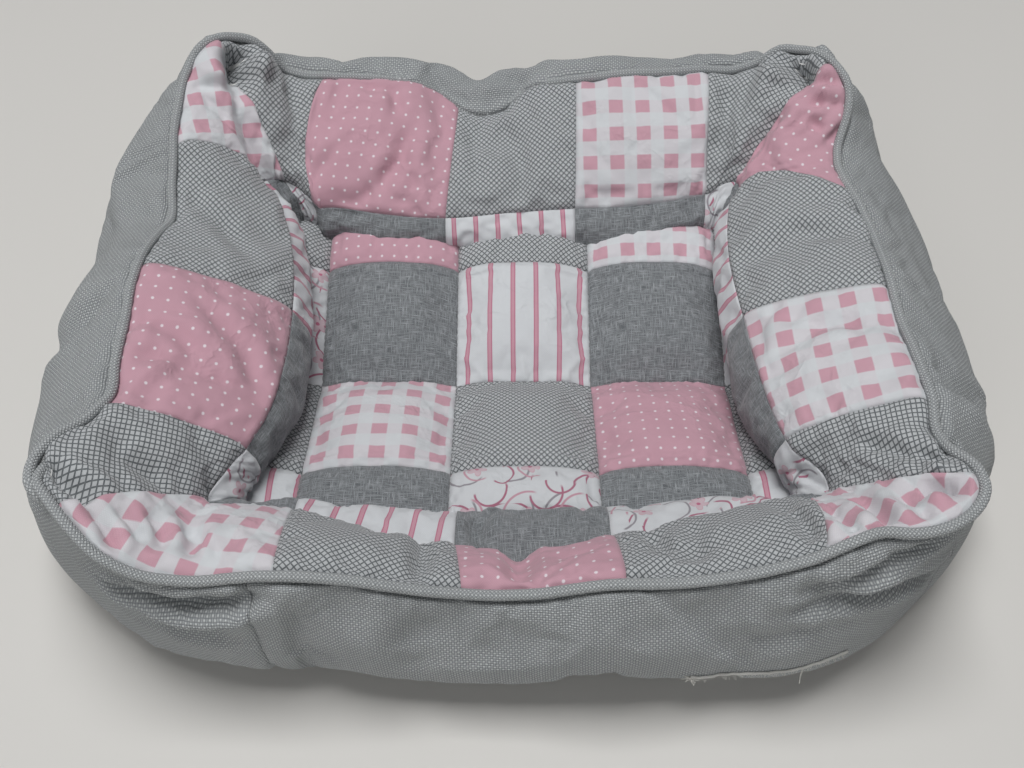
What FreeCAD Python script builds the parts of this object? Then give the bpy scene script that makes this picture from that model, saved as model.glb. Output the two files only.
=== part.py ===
"""Rectangular patchwork pet bed: four stuffed walls round a quilted base.

The origin is the middle of the underside, +X is to the right, the front wall is
towards -Y and +Z is up. Sizes are in millimetres.

Everything that stands round the base is drawn as a section in an upright plane and
lofted from one section plane ("station") to the next. Along a wall the planes are
parallel. At a corner they turn about an upright line, the pivot, so that the two
walls share the section plane of the mitre.

A section is drawn in r, the distance outwards from the edge of the sleeping well,
and z. It runs from the seam at the base, over the inner face and the rim, and down
the outer face to the seam at the bottom panel. The cloth lies between this outline
and the same outline moved inwards by its thickness, and the filling lies inside.
"""
import FreeCAD
import Part
import math
import os

V = FreeCAD.Vector

# ---- cloth ----
CANVAS_THICKNESS = 1.2
LINING_THICKNESS = 1.0
BOTTOM_THICKNESS = 1.2
SEAM_CLEARANCE = 0.4

# ---- patchwork and sleeping well ----
PATCH = 82.0
WELL_COLUMNS = 3
WELL_HALF_WIDTH = PATCH * WELL_COLUMNS / 2.0
WELL_BACK = 88.0
WELL_FRONT = -100.0
WELL_MIDDLE = (WELL_BACK + WELL_FRONT) / 2.0

# ---- base: a trough from back to front, and the part of it that is hidden under the walls ----
BASE_HEIGHT_BACK = 56.0
BASE_HEIGHT_MIDDLE = 30.0
BASE_HEIGHT_FRONT = 48.0
BASE_OVERLAP = 38.0
BASE_EDGE_HEIGHT = 26.0
PUFF_HEIGHT = 9.0
PUFF_INSET = 15.0

# ---- walls: (r, z) of the named points half-way along each wall, and how much of the inner
# ---- points' difference from the corner's is left at the ends of the wall ----
FRONT = dict(rim=87.0, row_seam=(49.0, 70.0), inner=(10.0, 53.0), outer=(113.0, 56.0), foot=85.0,
             inner_fullness=0.1)
BACK = dict(rim=82.0, row_seam=(5.0, 79.0), inner=(1.0, 63.0), outer=(125.0, 69.0), foot=95.0,
            inner_fullness=0.55)
SIDE = dict(rim=80.0, row_seam=(5.0, 90.0), inner=(3.0, 56.0), outer=(137.0, 67.0), foot=100.0,
            inner_fullness=0.5)

# ---- height of the rim at even distances along each wall, counter-clockwise: the stuffing
# ---- holds it up at the ends and lets it dip between the patch seams ----
RIM_HEIGHTS = dict(
    right=(127.0, 126.0, 121.0, 122.0, 119.0, 121.0, 123.0),
    back=(134.0, 131.0, 127.0, 112.0, 108.0, 126.0, 129.0),
    left=(137.0, 122.0, 123.0, 131.0, 130.0, 127.0, 127.0),
    front=(112.0, 110.0, 101.0, 98.0, 107.0, 110.0, 122.0),
)

# ---- the same points at the mitre of each corner, where the rim stands up as an ear ----
FRONT_RIGHT = dict(rim_z=136.0, row_seam=(27.0, 84.0), inner=(22.0, 57.0), outer_z=58.0)
BACK_RIGHT = dict(rim_z=157.0, row_seam=(27.0, 93.0), inner=(14.0, 61.0), outer_z=75.0)
BACK_LEFT = dict(rim_z=161.0, row_seam=(34.0, 92.0), inner=(20.0, 61.0), outer_z=75.0)
FRONT_LEFT = dict(rim_z=136.0, row_seam=(40.0, 84.0), inner=(23.0, 57.0), outer_z=58.0)

# ---- how square each contour turns the corner, seen from above ----
RIM_SQUARENESS = 5.0
OUTER_SQUARENESS = 1.55
FOOT_SQUARENESS = 2.2

# ---- shape of a section between its named points ----
UNDERSIDE_REACH = 10.0
ROW_PUFF = 7.0
BASE_ROW_PUFF = 5.0
BROW_REACH = 0.3
BROW_DROP = 0.08
SHOULDER = 0.7
CURL_REACH = 0.78
CURL_HEIGHT = 0.3
END_FULLNESS = 0.7

# ---- piping ----
PIPING_RADIUS = 2.4
PIPING_CLOTH = 0.8
PIPING_CLEARANCE = 0.15
PIPING_SIDES = 8

# ---- stations and facets ----
MITRE = 45.0
FAN_STEPS = 3
PATCH_STEPS = 2
LOWER_FACETS = 4
UPPER_FACETS = 5
OUTER_FACETS = 9
SEAT = 0
UNDER = 1
ROW_SEAM = UNDER + LOWER_FACETS
RIM = ROW_SEAM + UPPER_FACETS
FOOT = RIM + OUTER_FACETS
COLLAPSED_AREA = 1e-6
SAME_POINT_DECIMALS = 4


# ---- small helpers ----

def mix(full, empty, weight):
    """Value between two: full at weight 1 and empty at weight 0."""
    return empty + (full - empty) * weight


def along(values, place):
    """Value at a place from -1 to 1, between values that stand at even distances."""
    position = (place + 1.0) / 2.0 * (len(values) - 1)
    i = min(int(position), len(values) - 2)
    return mix(values[i + 1], values[i], position - i)


def halfway(one, two, puff):
    """The point half-way from one point to the next, moved by puff to the left of that way."""
    across = unit(two[0] - one[0], two[1] - one[1])
    return (one[0] + two[0]) / 2.0 - puff * across[1], (one[1] + two[1]) / 2.0 + puff * across[0]


def unit(a, b):
    length = math.hypot(a, b)
    return a / length, b / length


def turned_radius(own, neighbour, angle, squareness):
    """Radius of a contour that turns a corner from one wall to its neighbour."""
    a = math.cos(math.radians(angle)) / own
    b = math.sin(math.radians(angle)) / neighbour
    return (a ** squareness + b ** squareness) ** (-1.0 / squareness)


def smooth(points, facets):
    """Points along a smooth curve through the given ones, without the first."""
    spline = Part.BSplineCurve()
    spline.interpolate([V(r, z, 0) for r, z in points])
    return [(p.x, p.y) for p in spline.discretize(Number=facets + 1)][1:]


def spread(first, last, steps):
    return [first + (last - first) * i / steps for i in range(steps + 1)]


def solid_of(facets):
    """Closed solid bounded by flat polygons."""
    faces = [Part.Face(Part.makePolygon(list(facet) + [facet[0]])) for facet in facets]
    shell = Part.makeShell(faces)
    shell.sewShape()
    solid = Part.makeSolid(shell)
    if solid.Volume < 0:
        solid.reverse()
    return solid


def quad(a, b, c, d):
    """Two triangles that meet along the diagonal from a to c. A collapsed one is left out."""
    triangles = ((a, b, c), (a, c, d))
    return [t for t in triangles if (t[1] - t[0]).cross(t[2] - t[0]).Length > COLLAPSED_AREA]


def facet_loft(sections, turn=None, closed=False):
    """Loft in flat facets through sections with the same number of points.

    After the point numbered turn a section runs back beside itself. There the diagonals
    are swapped, so that both faces of a cloth have theirs in the same places.
    """
    pairs = list(zip(sections, sections[1:]))
    if closed:
        pairs.append((sections[-1], sections[0]))
    facets = []
    for one, two in pairs:
        for i in range(len(one)):
            j = (i + 1) % len(one)
            if turn is None or i <= turn:
                facets += quad(one[i], one[j], two[j], two[i])
            else:
                facets += quad(one[j], one[i], two[i], two[j])
    if not closed:
        facets += [sections[0], sections[-1]]
    return solid_of(facets)


# ---- section planes ----

def base_height(y):
    """Height of the seams of the base, which is lowest half-way between back and front."""
    end, height = (WELL_BACK, BASE_HEIGHT_BACK) if y > WELL_MIDDLE else (WELL_FRONT, BASE_HEIGHT_FRONT)
    return mix(height, BASE_HEIGHT_MIDDLE, (y - WELL_MIDDLE) / (end - WELL_MIDDLE))


class Station:
    """One section plane: where it stands, which way is outwards, and its outlines.

    place runs from -1 to 1 along the straight part of the wall, and angle is how far
    the plane has turned towards the mitre. rim_height is the height of the rim at place.
    """

    def __init__(self, x, y, heading, wall, neighbour, corner, rim_height, place, angle):
        self.x = x
        self.y = y
        self.heading = math.radians(heading)
        turned = 1.0 - angle / MITRE
        full = turned * (1.0 - (1.0 - END_FULLNESS) * place ** 2)
        inner_full = turned * (1.0 - (1.0 - wall["inner_fullness"]) * place ** 2)
        rim = (turned_radius(wall["rim"], neighbour["rim"], angle, RIM_SQUARENESS),
               mix(rim_height, corner["rim_z"], turned))
        self.skin = self.outline(wall, neighbour, corner, rim, full, inner_full, angle)
        self.liner = self.inner_outline()

    def outline(self, wall, neighbour, corner, rim, full, inner_full, angle):
        seam = [mix(a, b, inner_full) for a, b in zip(wall["row_seam"], corner["row_seam"])]
        inner = [mix(a, b, inner_full) for a, b in zip(wall["inner"], corner["inner"])]
        outer = (turned_radius(wall["outer"][0], neighbour["outer"][0], angle, OUTER_SQUARENESS),
                 mix(wall["outer"][1], corner["outer_z"], full))
        foot = (turned_radius(wall["foot"], neighbour["foot"], angle, FOOT_SQUARENESS), BOTTOM_THICKNESS)
        lift = LINING_THICKNESS + SEAM_CLEARANCE
        under_r = inner[0] + UNDERSIDE_REACH
        self.base = [(r, self.base_slope(r)) for r in (0.0, under_r, BASE_OVERLAP)]
        seat = (BASE_OVERLAP, BASE_EDGE_HEIGHT + lift)
        under = (under_r, self.base_slope(under_r) + lift)
        reach, drop = outer[0] - rim[0], rim[1] - outer[1]
        brow = (rim[0] + reach * BROW_REACH, rim[1] - drop * BROW_DROP)
        shoulder = (rim[0] + reach * SHOULDER, outer[1] + drop * SHOULDER)
        curl = (mix(outer[0], foot[0], CURL_REACH), mix(outer[1], foot[1], CURL_HEIGHT))
        points = [seat, under]
        points += smooth([under, inner, halfway(inner, seam, BASE_ROW_PUFF), seam], LOWER_FACETS)
        points += smooth([seam, halfway(seam, rim, ROW_PUFF), rim], UPPER_FACETS)
        points += smooth([rim, brow, shoulder, outer, curl, foot], OUTER_FACETS)
        return points

    def base_slope(self, r):
        """Height of the base where it dives under the wall."""
        return mix(BASE_EDGE_HEIGHT, base_height(self.y), r / BASE_OVERLAP)

    def inner_outline(self):
        """The outline moved into the wall by the thickness of the cloth."""
        moved = []
        for i in range(1, FOOT):
            before, here, after = self.skin[i - 1:i + 2]
            a = unit(here[0] - before[0], here[1] - before[1])
            b = unit(after[0] - here[0], after[1] - here[1])
            normal = unit(a[1] + b[1], -a[0] - b[0])
            spread = normal[0] * a[1] - normal[1] * a[0]
            cloth = CANVAS_THICKNESS if i > RIM else LINING_THICKNESS
            moved.append((here[0] + normal[0] * cloth / spread, here[1] + normal[1] * cloth / spread))
        seat, foot = self.skin[SEAT], self.skin[FOOT]
        return [(seat[0], seat[1] + LINING_THICKNESS)] + moved + [(foot[0] - CANVAS_THICKNESS, foot[1])]

    def at(self, r, z):
        """A point of the section plane in space."""
        return V(self.x + r * math.cos(self.heading), self.y + r * math.sin(self.heading), z)

    def cloth(self, first, last):
        """Closed section of the cloth between two places on the outline."""
        outside = [self.at(*p) for p in self.skin[first:last + 1]]
        inside = [self.at(*p) for p in self.liner[first:last + 1]]
        return outside + inside[::-1]

    def filling(self):
        """Closed section of the roll of filling that the cloth wraps."""
        return [self.at(*p) for p in self.liner] + [self.at(BASE_OVERLAP, BOTTOM_THICKNESS)]

    def base_line(self):
        """The base from the edge of the well to its hidden edge."""
        return [self.at(*p) for p in self.base]

    def piping(self, radius):
        """Section of the piping, seated on the rim."""
        (r, z), (deep_r, deep_z) = self.skin[RIM], self.liner[RIM]
        out = unit(r - deep_r, z - deep_z)
        lift = PIPING_RADIUS + PIPING_CLEARANCE
        ring = []
        for i in range(PIPING_SIDES):
            angle = 2.0 * math.pi * i / PIPING_SIDES
            ring.append(self.at(r + out[0] * lift + radius * math.cos(angle),
                                z + out[1] * lift + radius * math.sin(angle)))
        return ring


# ---- the ring of stations ----

COLUMN_SEAMS = spread(-WELL_HALF_WIDTH, WELL_HALF_WIDTH, WELL_COLUMNS)
ROW_LINES = [WELL_FRONT, WELL_MIDDLE - PATCH, WELL_MIDDLE, WELL_MIDDLE + PATCH, WELL_BACK]
LONG_FEET = spread(-WELL_HALF_WIDTH, WELL_HALF_WIDTH, WELL_COLUMNS * PATCH_STEPS)
SIDE_FEET = ROW_LINES[:1] + spread(ROW_LINES[1], ROW_LINES[-2], 2 * PATCH_STEPS) + ROW_LINES[-1:]


def wall_stations(heading, wall, heights, neighbours, corners, feet):
    """Stations of one wall, mitre to mitre, over the given points on the edge of the well."""
    turns = spread(MITRE, 0.0, FAN_STEPS)[:-1]
    length = math.dist(feet[0], feet[-1])

    def station(foot, turn):
        place = 2.0 * math.dist(feet[0], foot) / length - 1.0
        end = 0 if place <= 0.0 else 1
        return Station(*foot, heading + turn, wall, neighbours[end], corners[end], along(heights, place),
                       place, abs(turn))

    return ([station(feet[0], -angle) for angle in turns] + [station(foot, 0.0) for foot in feet]
            + [station(feet[-1], angle) for angle in reversed(turns)])


# Counter-clockwise seen from above.
WALLS = {
    "right": wall_stations(0.0, SIDE, RIM_HEIGHTS["right"], (FRONT, BACK), (FRONT_RIGHT, BACK_RIGHT),
                           [(WELL_HALF_WIDTH, y) for y in SIDE_FEET]),
    "back": wall_stations(90.0, BACK, RIM_HEIGHTS["back"], (SIDE, SIDE), (BACK_RIGHT, BACK_LEFT),
                          [(x, WELL_BACK) for x in reversed(LONG_FEET)]),
    "left": wall_stations(180.0, SIDE, RIM_HEIGHTS["left"], (BACK, FRONT), (BACK_LEFT, FRONT_LEFT),
                          [(-WELL_HALF_WIDTH, y) for y in reversed(SIDE_FEET)]),
    "front": wall_stations(270.0, FRONT, RIM_HEIGHTS["front"], (SIDE, SIDE), (FRONT_LEFT, FRONT_RIGHT),
                           [(x, WELL_FRONT) for x in LONG_FEET]),
}
RING = [station for stations in WALLS.values() for station in stations[:-1]]

# The prints of each wall, counter-clockwise, in the rows that end at the rim and at the base.
# The first and last patches fill the corners.
WALL_PRINTS = {
    "right": (("crosshatch", "gingham", "crosshatch", "pink_dot"),
              ("floral", "grey_linen", "stripe", "grey_linen")),
    "back": (("crosshatch", "gingham", "crosshatch", "pink_dot", "crosshatch"),
             ("floral", "grey_linen", "stripe", "grey_linen", "floral")),
    "left": (("gingham", "crosshatch", "pink_dot", "crosshatch"),
             ("grey_linen", "stripe", "grey_linen", "floral")),
    "front": (("gingham", "crosshatch", "pink_dot", "crosshatch", "gingham"),
              ("grey_linen", "stripe", "grey_linen", "floral", "grey_linen")),
}

# The prints of the base, back row first, left to right.
BASE_PRINTS = (
    ("crosshatch", "pink_dot", "crosshatch", "gingham", "crosshatch"),
    ("floral", "grey_linen", "stripe", "grey_linen", "floral"),
    ("crosshatch", "gingham", "crosshatch", "pink_dot", "crosshatch"),
    ("stripe", "grey_linen", "floral", "grey_linen", "stripe"),
)


# ---- pieces of the walls ----

def cloth_between(stations, first, last):
    return facet_loft([s.cloth(first, last) for s in stations], turn=last - first)


def wall_lining(name):
    """Patches of one wall, grouped by print."""
    stations = WALLS[name]
    upper, lower = WALL_PRINTS[name]
    straight = len(stations) - 1 - 2 * FAN_STEPS
    inner_patches = len(upper) - 2
    step = straight // inner_patches
    breaks = [0] + [FAN_STEPS + i * step for i in range(inner_patches + 1)] + [len(stations) - 1]
    groups = {}
    for row, first, last in ((upper, ROW_SEAM, RIM), (lower, SEAT, ROW_SEAM)):
        for i, cloth in enumerate(row):
            run = stations[breaks[i]:breaks[i + 1] + 1]
            groups.setdefault(cloth, []).append(cloth_between(run, first, last))
    return groups


def canvas_panels():
    """Outer walls. The left panel runs on round the front corner, where its seam shows."""
    front, left = WALLS["front"], WALLS["left"]
    runs = {
        "front": front[FAN_STEPS:],
        "right": WALLS["right"],
        "back": WALLS["back"],
        "left": left + front[1:FAN_STEPS + 1],
    }
    return {name: cloth_between(run, RIM, FOOT) for name, run in runs.items()}


def bottom_panel():
    outline = [s.at(s.skin[FOOT][0], 0.0) for s in RING]
    face = Part.Face(Part.makePolygon(outline + outline[:1]))
    return face.extrude(V(0, 0, BOTTOM_THICKNESS))


def piping():
    """Cord and cover that lie on the rim all the way round."""
    cord = facet_loft([s.piping(PIPING_RADIUS - PIPING_CLOTH) for s in RING], closed=True)
    cover = facet_loft([s.piping(PIPING_RADIUS) for s in RING], closed=True).cut(cord)
    return cord, cover


# ---- pieces of the base ----

def puffed(left, right, front, back):
    """Surface of one whole patch inside the well, with its middle puffed up."""
    def raised(x, y):
        """Corner of the raised middle that belongs to a point on the seam."""
        top_x = left + PUFF_INSET if x == left else right - PUFF_INSET
        if y <= (front + back) / 2.0:
            return V(top_x, front + PUFF_INSET, base_height(front) + PUFF_HEIGHT)
        return V(top_x, back - PUFF_INSET, base_height(back) + PUFF_HEIGHT)

    up = spread(front, back, PATCH_STEPS)
    seam = [(right, y) for y in up] + [(left, y) for y in reversed(up)]
    triangles = quad(raised(left, front), raised(right, front), raised(right, back), raised(left, back))
    for one, two in zip(seam, seam[1:] + seam[:1]):
        triangles += quad(V(*one, base_height(one[1])), V(*two, base_height(two[1])),
                          raised(*two), raised(*one))
    return triangles


def narrow(left, right, front, back):
    """Surface of the strip of a patch that shows between the last seam and a wall."""
    return quad(V(left, front, base_height(front)), V(right, front, base_height(front)),
                V(right, back, base_height(back)), V(left, back, base_height(back)))


def border(stations):
    """Surface of the base where it slopes down under a wall."""
    triangles = []
    for one, two in zip(stations, stations[1:]):
        inner, outer = one.base_line(), two.base_line()
        for i in range(len(inner) - 1):
            triangles += quad(inner[i + 1], inner[i], outer[i], outer[i + 1])
    return triangles


def between(stations, low, high, axis):
    """The stations of the straight part of a wall that stand between two seams."""
    straight = stations[FAN_STEPS:len(stations) - FAN_STEPS]
    return [s for s in straight if low <= getattr(s, axis) <= high]


def base_surface(row, column):
    """Triangles of the upper surface of one patch of the base, counted from the front left."""
    front, back = ROW_LINES[row], ROW_LINES[row + 1]
    end_row = {0: "front", len(ROW_LINES) - 2: "back"}.get(row)
    end_column = {0: "left", len(COLUMN_SEAMS): "right"}.get(column)
    if end_column is None:
        left, right = COLUMN_SEAMS[column - 1], COLUMN_SEAMS[column]
        if end_row is None:
            return puffed(left, right, front, back)
        ends = between(WALLS[end_row], left, right, "x")
        return narrow(left, right, front, back) + border([ends[0], ends[-1]])
    triangles = border(between(WALLS[end_column], front, back, "y"))
    if end_row is not None:
        fans = [WALLS[end_column][:FAN_STEPS + 1], WALLS[end_column][-FAN_STEPS - 1:],
                WALLS[end_row][:FAN_STEPS + 1], WALLS[end_row][-FAN_STEPS - 1:]]
        corner = (COLUMN_SEAMS[0 if column == 0 else -1], front if row == 0 else back)
        for fan in fans:
            if (fan[0].x, fan[0].y) == corner:
                triangles += border(fan)
    return triangles


def boundary(triangles):
    """Edges that only one of the triangles has."""
    edges = {}
    for triangle in triangles:
        for i in range(3):
            a, b = triangle[i], triangle[(i + 1) % 3]
            ends = [tuple(round(c, SAME_POINT_DECIMALS) for c in end) for end in (a, b)]
            edges.setdefault(tuple(sorted(ends)), []).append((a, b))
    return [pair[0] for pair in edges.values() if len(pair) == 1]


def slab(triangles, lower):
    """Solid from a surface down to where lower puts each of its points."""
    below = [tuple(lower(p) for p in triangle) for triangle in triangles]
    sides = []
    for a, b in boundary(triangles):
        sides += quad(a, b, lower(b), lower(a))
    return solid_of(triangles + below + sides)


def base_pieces():
    """Wadding of the base, and its patches grouped by print."""
    surface = []
    groups = {}
    lift = V(0, 0, LINING_THICKNESS)
    for row, cloths in enumerate(reversed(BASE_PRINTS)):
        for column, cloth in enumerate(cloths):
            patch = base_surface(row, column)
            surface += patch
            raised = [tuple(p + lift for p in triangle) for triangle in patch]
            groups.setdefault(cloth, []).append(slab(raised, lambda p: p - lift))
    wadding = slab(surface, lambda p: V(p.x, p.y, BOTTOM_THICKNESS))
    return wadding, groups


# ---- write the pieces ----

def save(name, solids):
    shape = solids[0] if len(solids) == 1 else Part.makeCompound(solids)
    shape.exportStep(os.path.join("parts", name + ".step"))
    print(f"{name:28s} solids {len(solids)}  {shape.Volume / 1000.0:8.1f} cm3  valid {shape.isValid()}")


def main():
    os.makedirs("parts", exist_ok=True)
    save("bottom_panel", [bottom_panel()])
    for name, panel in canvas_panels().items():
        save(name + "_outer_panel", [panel])
    cord, cover = piping()
    save("rim_piping_cord", [cord])
    save("rim_piping_cover", [cover])
    for name, stations in WALLS.items():
        save(name + "_wall_filling", [facet_loft([s.filling() for s in stations])])
        for cloth, patches in wall_lining(name).items():
            save(name + "_lining_" + cloth, patches)
    wadding, groups = base_pieces()
    save("base_wadding", [wadding])
    for cloth, patches in groups.items():
        save("base_lining_" + cloth, patches)


main()
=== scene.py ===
# %% [markdown]
# # A patchwork pet bed
# The bed is one stuffed ring of four walls, sewn round a quilted base. Everything on the ring is
# cloth that was cut flat, sewn along a few lines and stuffed, so the whole ring is built as one
# grid of points first. The grid's lines run along the seams. Later the grid is cut into the same
# separate cloths as on the real bed, so that neighbours share their seam exactly.

# %% Load the frame
import math
import bpy
import numpy as np
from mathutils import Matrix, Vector


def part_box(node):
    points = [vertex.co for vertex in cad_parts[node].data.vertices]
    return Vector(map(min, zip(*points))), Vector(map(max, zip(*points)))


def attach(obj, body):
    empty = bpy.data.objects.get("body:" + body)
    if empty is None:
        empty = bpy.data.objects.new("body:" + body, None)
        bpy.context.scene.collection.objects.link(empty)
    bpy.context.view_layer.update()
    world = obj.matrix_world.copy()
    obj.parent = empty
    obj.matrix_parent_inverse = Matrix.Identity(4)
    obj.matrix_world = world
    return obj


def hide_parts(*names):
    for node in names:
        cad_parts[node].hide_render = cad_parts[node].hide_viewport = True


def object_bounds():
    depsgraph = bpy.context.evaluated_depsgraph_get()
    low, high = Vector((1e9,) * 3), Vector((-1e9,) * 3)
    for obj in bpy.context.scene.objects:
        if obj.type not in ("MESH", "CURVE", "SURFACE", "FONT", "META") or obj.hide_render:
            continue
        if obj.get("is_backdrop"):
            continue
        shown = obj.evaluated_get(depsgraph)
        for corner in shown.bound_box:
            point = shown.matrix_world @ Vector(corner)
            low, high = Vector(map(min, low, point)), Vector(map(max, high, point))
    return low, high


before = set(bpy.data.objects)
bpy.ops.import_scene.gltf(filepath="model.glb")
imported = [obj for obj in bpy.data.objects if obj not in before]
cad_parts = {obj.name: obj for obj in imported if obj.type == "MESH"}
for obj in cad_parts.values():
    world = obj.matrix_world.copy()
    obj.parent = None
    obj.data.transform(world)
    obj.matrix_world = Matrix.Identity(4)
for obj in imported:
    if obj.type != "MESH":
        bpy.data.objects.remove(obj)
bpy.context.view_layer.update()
MM = 0.001
print("nodes in the frame:", len(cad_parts))

# %% [markdown]
# ## Camera, floor and light
# The camera stands where a person stands who looks down into the bed, and its lens is the one of
# a phone. The floor is a plain pale sheet. Most of the light falls from a large soft lamp
# overhead. Two weaker ones stand at the left and behind the camera, and a dim world fills in the
# shadows, so that the folds of the cloth show and a colour renders about as written.

# %% Camera
CAMERA_PLACE = (-0.003, -0.434, 0.546)
CAMERA_TILT = math.radians(50.34)
SENSOR = 36.0
FOCAL_LENGTH = 38.67

camera_data = bpy.data.cameras.new("camera")
camera_data.sensor_width = SENSOR
camera_data.lens = FOCAL_LENGTH
camera = bpy.data.objects.new("camera", camera_data)
camera.location = CAMERA_PLACE
camera.rotation_euler = (math.pi / 2 - CAMERA_TILT, 0.0, 0.0)
bpy.context.scene.collection.objects.link(camera)
bpy.context.scene.camera = camera
bpy.context.scene.view_settings.view_transform = "Standard"


# %% Light
LAMP_AIM = Vector((0.0, 0.0, 0.05))
LAMPS = (  # name, place in metres, size in metres, power in watts
    ("window", (-2.2, 1.2, 2.6), 2.0, 3.0),
    ("ceiling", (-0.2, 0.0, 3.5), 1.5, 88.0),
    ("room", (-1.0, -3.0, 1.4), 1.6, 23.0),
)
WORLD_COLOUR = (0.97, 0.98, 1.0, 1.0)
WORLD_STRENGTH = 0.11


def area_lamp(name, place, size, watts):
    """A square soft lamp that points at the bed."""
    data = bpy.data.lights.new(name, "AREA")
    data.size = size
    data.energy = watts
    lamp = bpy.data.objects.new(name, data)
    lamp.location = place
    lamp.rotation_euler = (LAMP_AIM - Vector(place)).to_track_quat("-Z", "Y").to_euler()
    bpy.context.scene.collection.objects.link(lamp)


for lamp_values in LAMPS:
    area_lamp(*lamp_values)
world = bpy.data.worlds.new("room")
world.use_nodes = True
bpy.context.scene.world = world
background = world.node_tree.nodes["Background"]
background.inputs["Color"].default_value = WORLD_COLOUR
background.inputs["Strength"].default_value = WORLD_STRENGTH

# %% [markdown]
# ## Writing shader nodes in short lines
# A printed cloth is a pattern worked out from its own UV map. The small class below adds one
# node per call and links whatever it is given, so a pattern reads like a formula.


# %% Node helper
def linear(r, g, b):
    """A colour written as it looks on the screen, 0 to 255, as the shader wants it."""
    return tuple(((c / 255 + 0.055) / 1.055) ** 2.4 if c > 10 else c / 3295 for c in (r, g, b)) + (1.0,)


class Wiring:
    """Adds nodes to a tree. An argument may be a number, a colour or another node's output."""

    def __init__(self, tree):
        self.tree = tree

    def add(self, kind, inputs=(), output=0, **settings):
        node = self.tree.nodes.new(kind)
        for name, value in settings.items():
            setattr(node, name, value)
        for key, value in dict(inputs).items():
            if isinstance(value, bpy.types.NodeSocket):
                self.tree.links.new(value, node.inputs[key])
            else:
                node.inputs[key].default_value = value
        return node.outputs[output]

    def math(self, operation, *values, clamp=False):
        return self.add("ShaderNodeMath", dict(enumerate(values)), operation=operation, use_clamp=clamp)

    def vector(self, operation, one, two):
        return self.add("ShaderNodeVectorMath", {0: one, 1: two}, operation=operation)

    def scaled(self, vector, factor):
        return self.add("ShaderNodeVectorMath", {0: vector, "Scale": factor}, operation="SCALE")

    def mix(self, factor, one, two):
        return self.add("ShaderNodeMix", {0: factor, 6: one, 7: two}, output=2, data_type="RGBA")

    def split(self, vector):
        node = self.tree.nodes.new("ShaderNodeSeparateXYZ")
        self.tree.links.new(vector, node.inputs[0])
        return node.outputs[0], node.outputs[1]

    def join(self, u, v, w=0.0):
        return self.add("ShaderNodeCombineXYZ", {0: u, 1: v, 2: w})

    def wave(self, value, period, offset=0.0):
        """0 at the middle of each period and 0.5 at its ends."""
        whole = self.math("ADD", self.math("DIVIDE", value, period), offset)
        return self.math("ABSOLUTE", self.math("SUBTRACT", self.math("FRACT", whole), 0.5))

    def band(self, value, low, high):
        """0 below low, 1 above high."""
        return self.math("MULTIPLY", self.math("SUBTRACT", value, low), 1.0 / (high - low), clamp=True)

    def noise(self, vector, scale, detail=2.0, roughness=0.5, output=0):
        return self.add("ShaderNodeTexNoise", {"Vector": vector, "Scale": scale, "Detail": detail,
                                               "Roughness": roughness}, output=output)


def group(name, sockets_in, sockets_out):
    """An empty node group with float or vector inputs and outputs, and its wiring."""
    tree = bpy.data.node_groups.new(name, "ShaderNodeTree")
    for label, kind, value in sockets_in:
        socket = tree.interface.new_socket(label, in_out="INPUT", socket_type=kind)
        if value is not None:
            socket.default_value = value
    for label, kind in sockets_out:
        tree.interface.new_socket(label, in_out="OUTPUT", socket_type=kind)
    source = tree.nodes.new("NodeGroupInput")
    sink = tree.nodes.new("NodeGroupOutput")
    return tree, Wiring(tree), source.outputs, sink.inputs


# %% [markdown]
# ## Weaves
# The outer cloth is coarse, and the linings are fine cotton. Both are the same group with another
# thread width: threads go over and under by turns, which a chequer of round ridges shows, and a
# little noise keeps the threads from lying quite straight. The group puts out a height for the
# bump and a painted shade for the colour: dark in the gaps between the threads, where shadow falls,
# and a little lighter where the yarn is thick.

# %% Weave group
weave, w, inp, out = group(
    "weave",
    [("Vector", "NodeSocketVector", None), ("Thread", "NodeSocketFloat", 1.3)],
    [("Height", "NodeSocketFloat"), ("Shade", "NodeSocketFloat")])
wobble = w.vector("SUBTRACT", w.noise(inp["Vector"], 0.35, output=1), (0.5, 0.5, 0.5))
u, v = w.split(w.vector("ADD", inp["Vector"], w.scaled(wobble, 0.7)))
across = w.math("DIVIDE", u, inp["Thread"])
along = w.math("DIVIDE", v, inp["Thread"])
chequer = w.math("ABSOLUTE", w.math("MODULO", w.math("ADD", w.math("FLOOR", across),
                                                     w.math("FLOOR", along)), 2.0))
ridge_u = w.math("SINE", w.math("MULTIPLY", w.math("FRACT", across), math.pi))
ridge_v = w.math("SINE", w.math("MULTIPLY", w.math("FRACT", along), math.pi))
over = w.math("MULTIPLY", ridge_v, w.math("POWER", ridge_u, 0.5))
under = w.math("MULTIPLY", ridge_u, w.math("POWER", ridge_v, 0.5))
height = w.math("ADD", w.math("MULTIPLY", over, chequer),
                w.math("MULTIPLY", w.math("MULTIPLY", under, w.math("SUBTRACT", 1.0, chequer)), 0.45))
w.tree.links.new(height, out["Height"])
# Painted shade: the ridges of the threads stay light and the gaps between them go dark; slubs of the yarn
# lighten it a little.
slub = w.noise(w.vector("MULTIPLY", inp["Vector"], (0.15, 1.6, 1.0)), 0.9)
shade = w.math("ADD", w.math("MULTIPLY", height, 0.95), w.math("MULTIPLY", slub, 0.3))
w.tree.links.new(shade, out["Shade"])
print("group:", weave.name)

# %% [markdown]
# ## Wrinkles
# Cotton that is pulled over a filling has sharp little wrinkles that run in all directions. Noise
# whose middle value is folded up into a crest gives such lines, and a second noise leaves calm
# areas between them.

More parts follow.
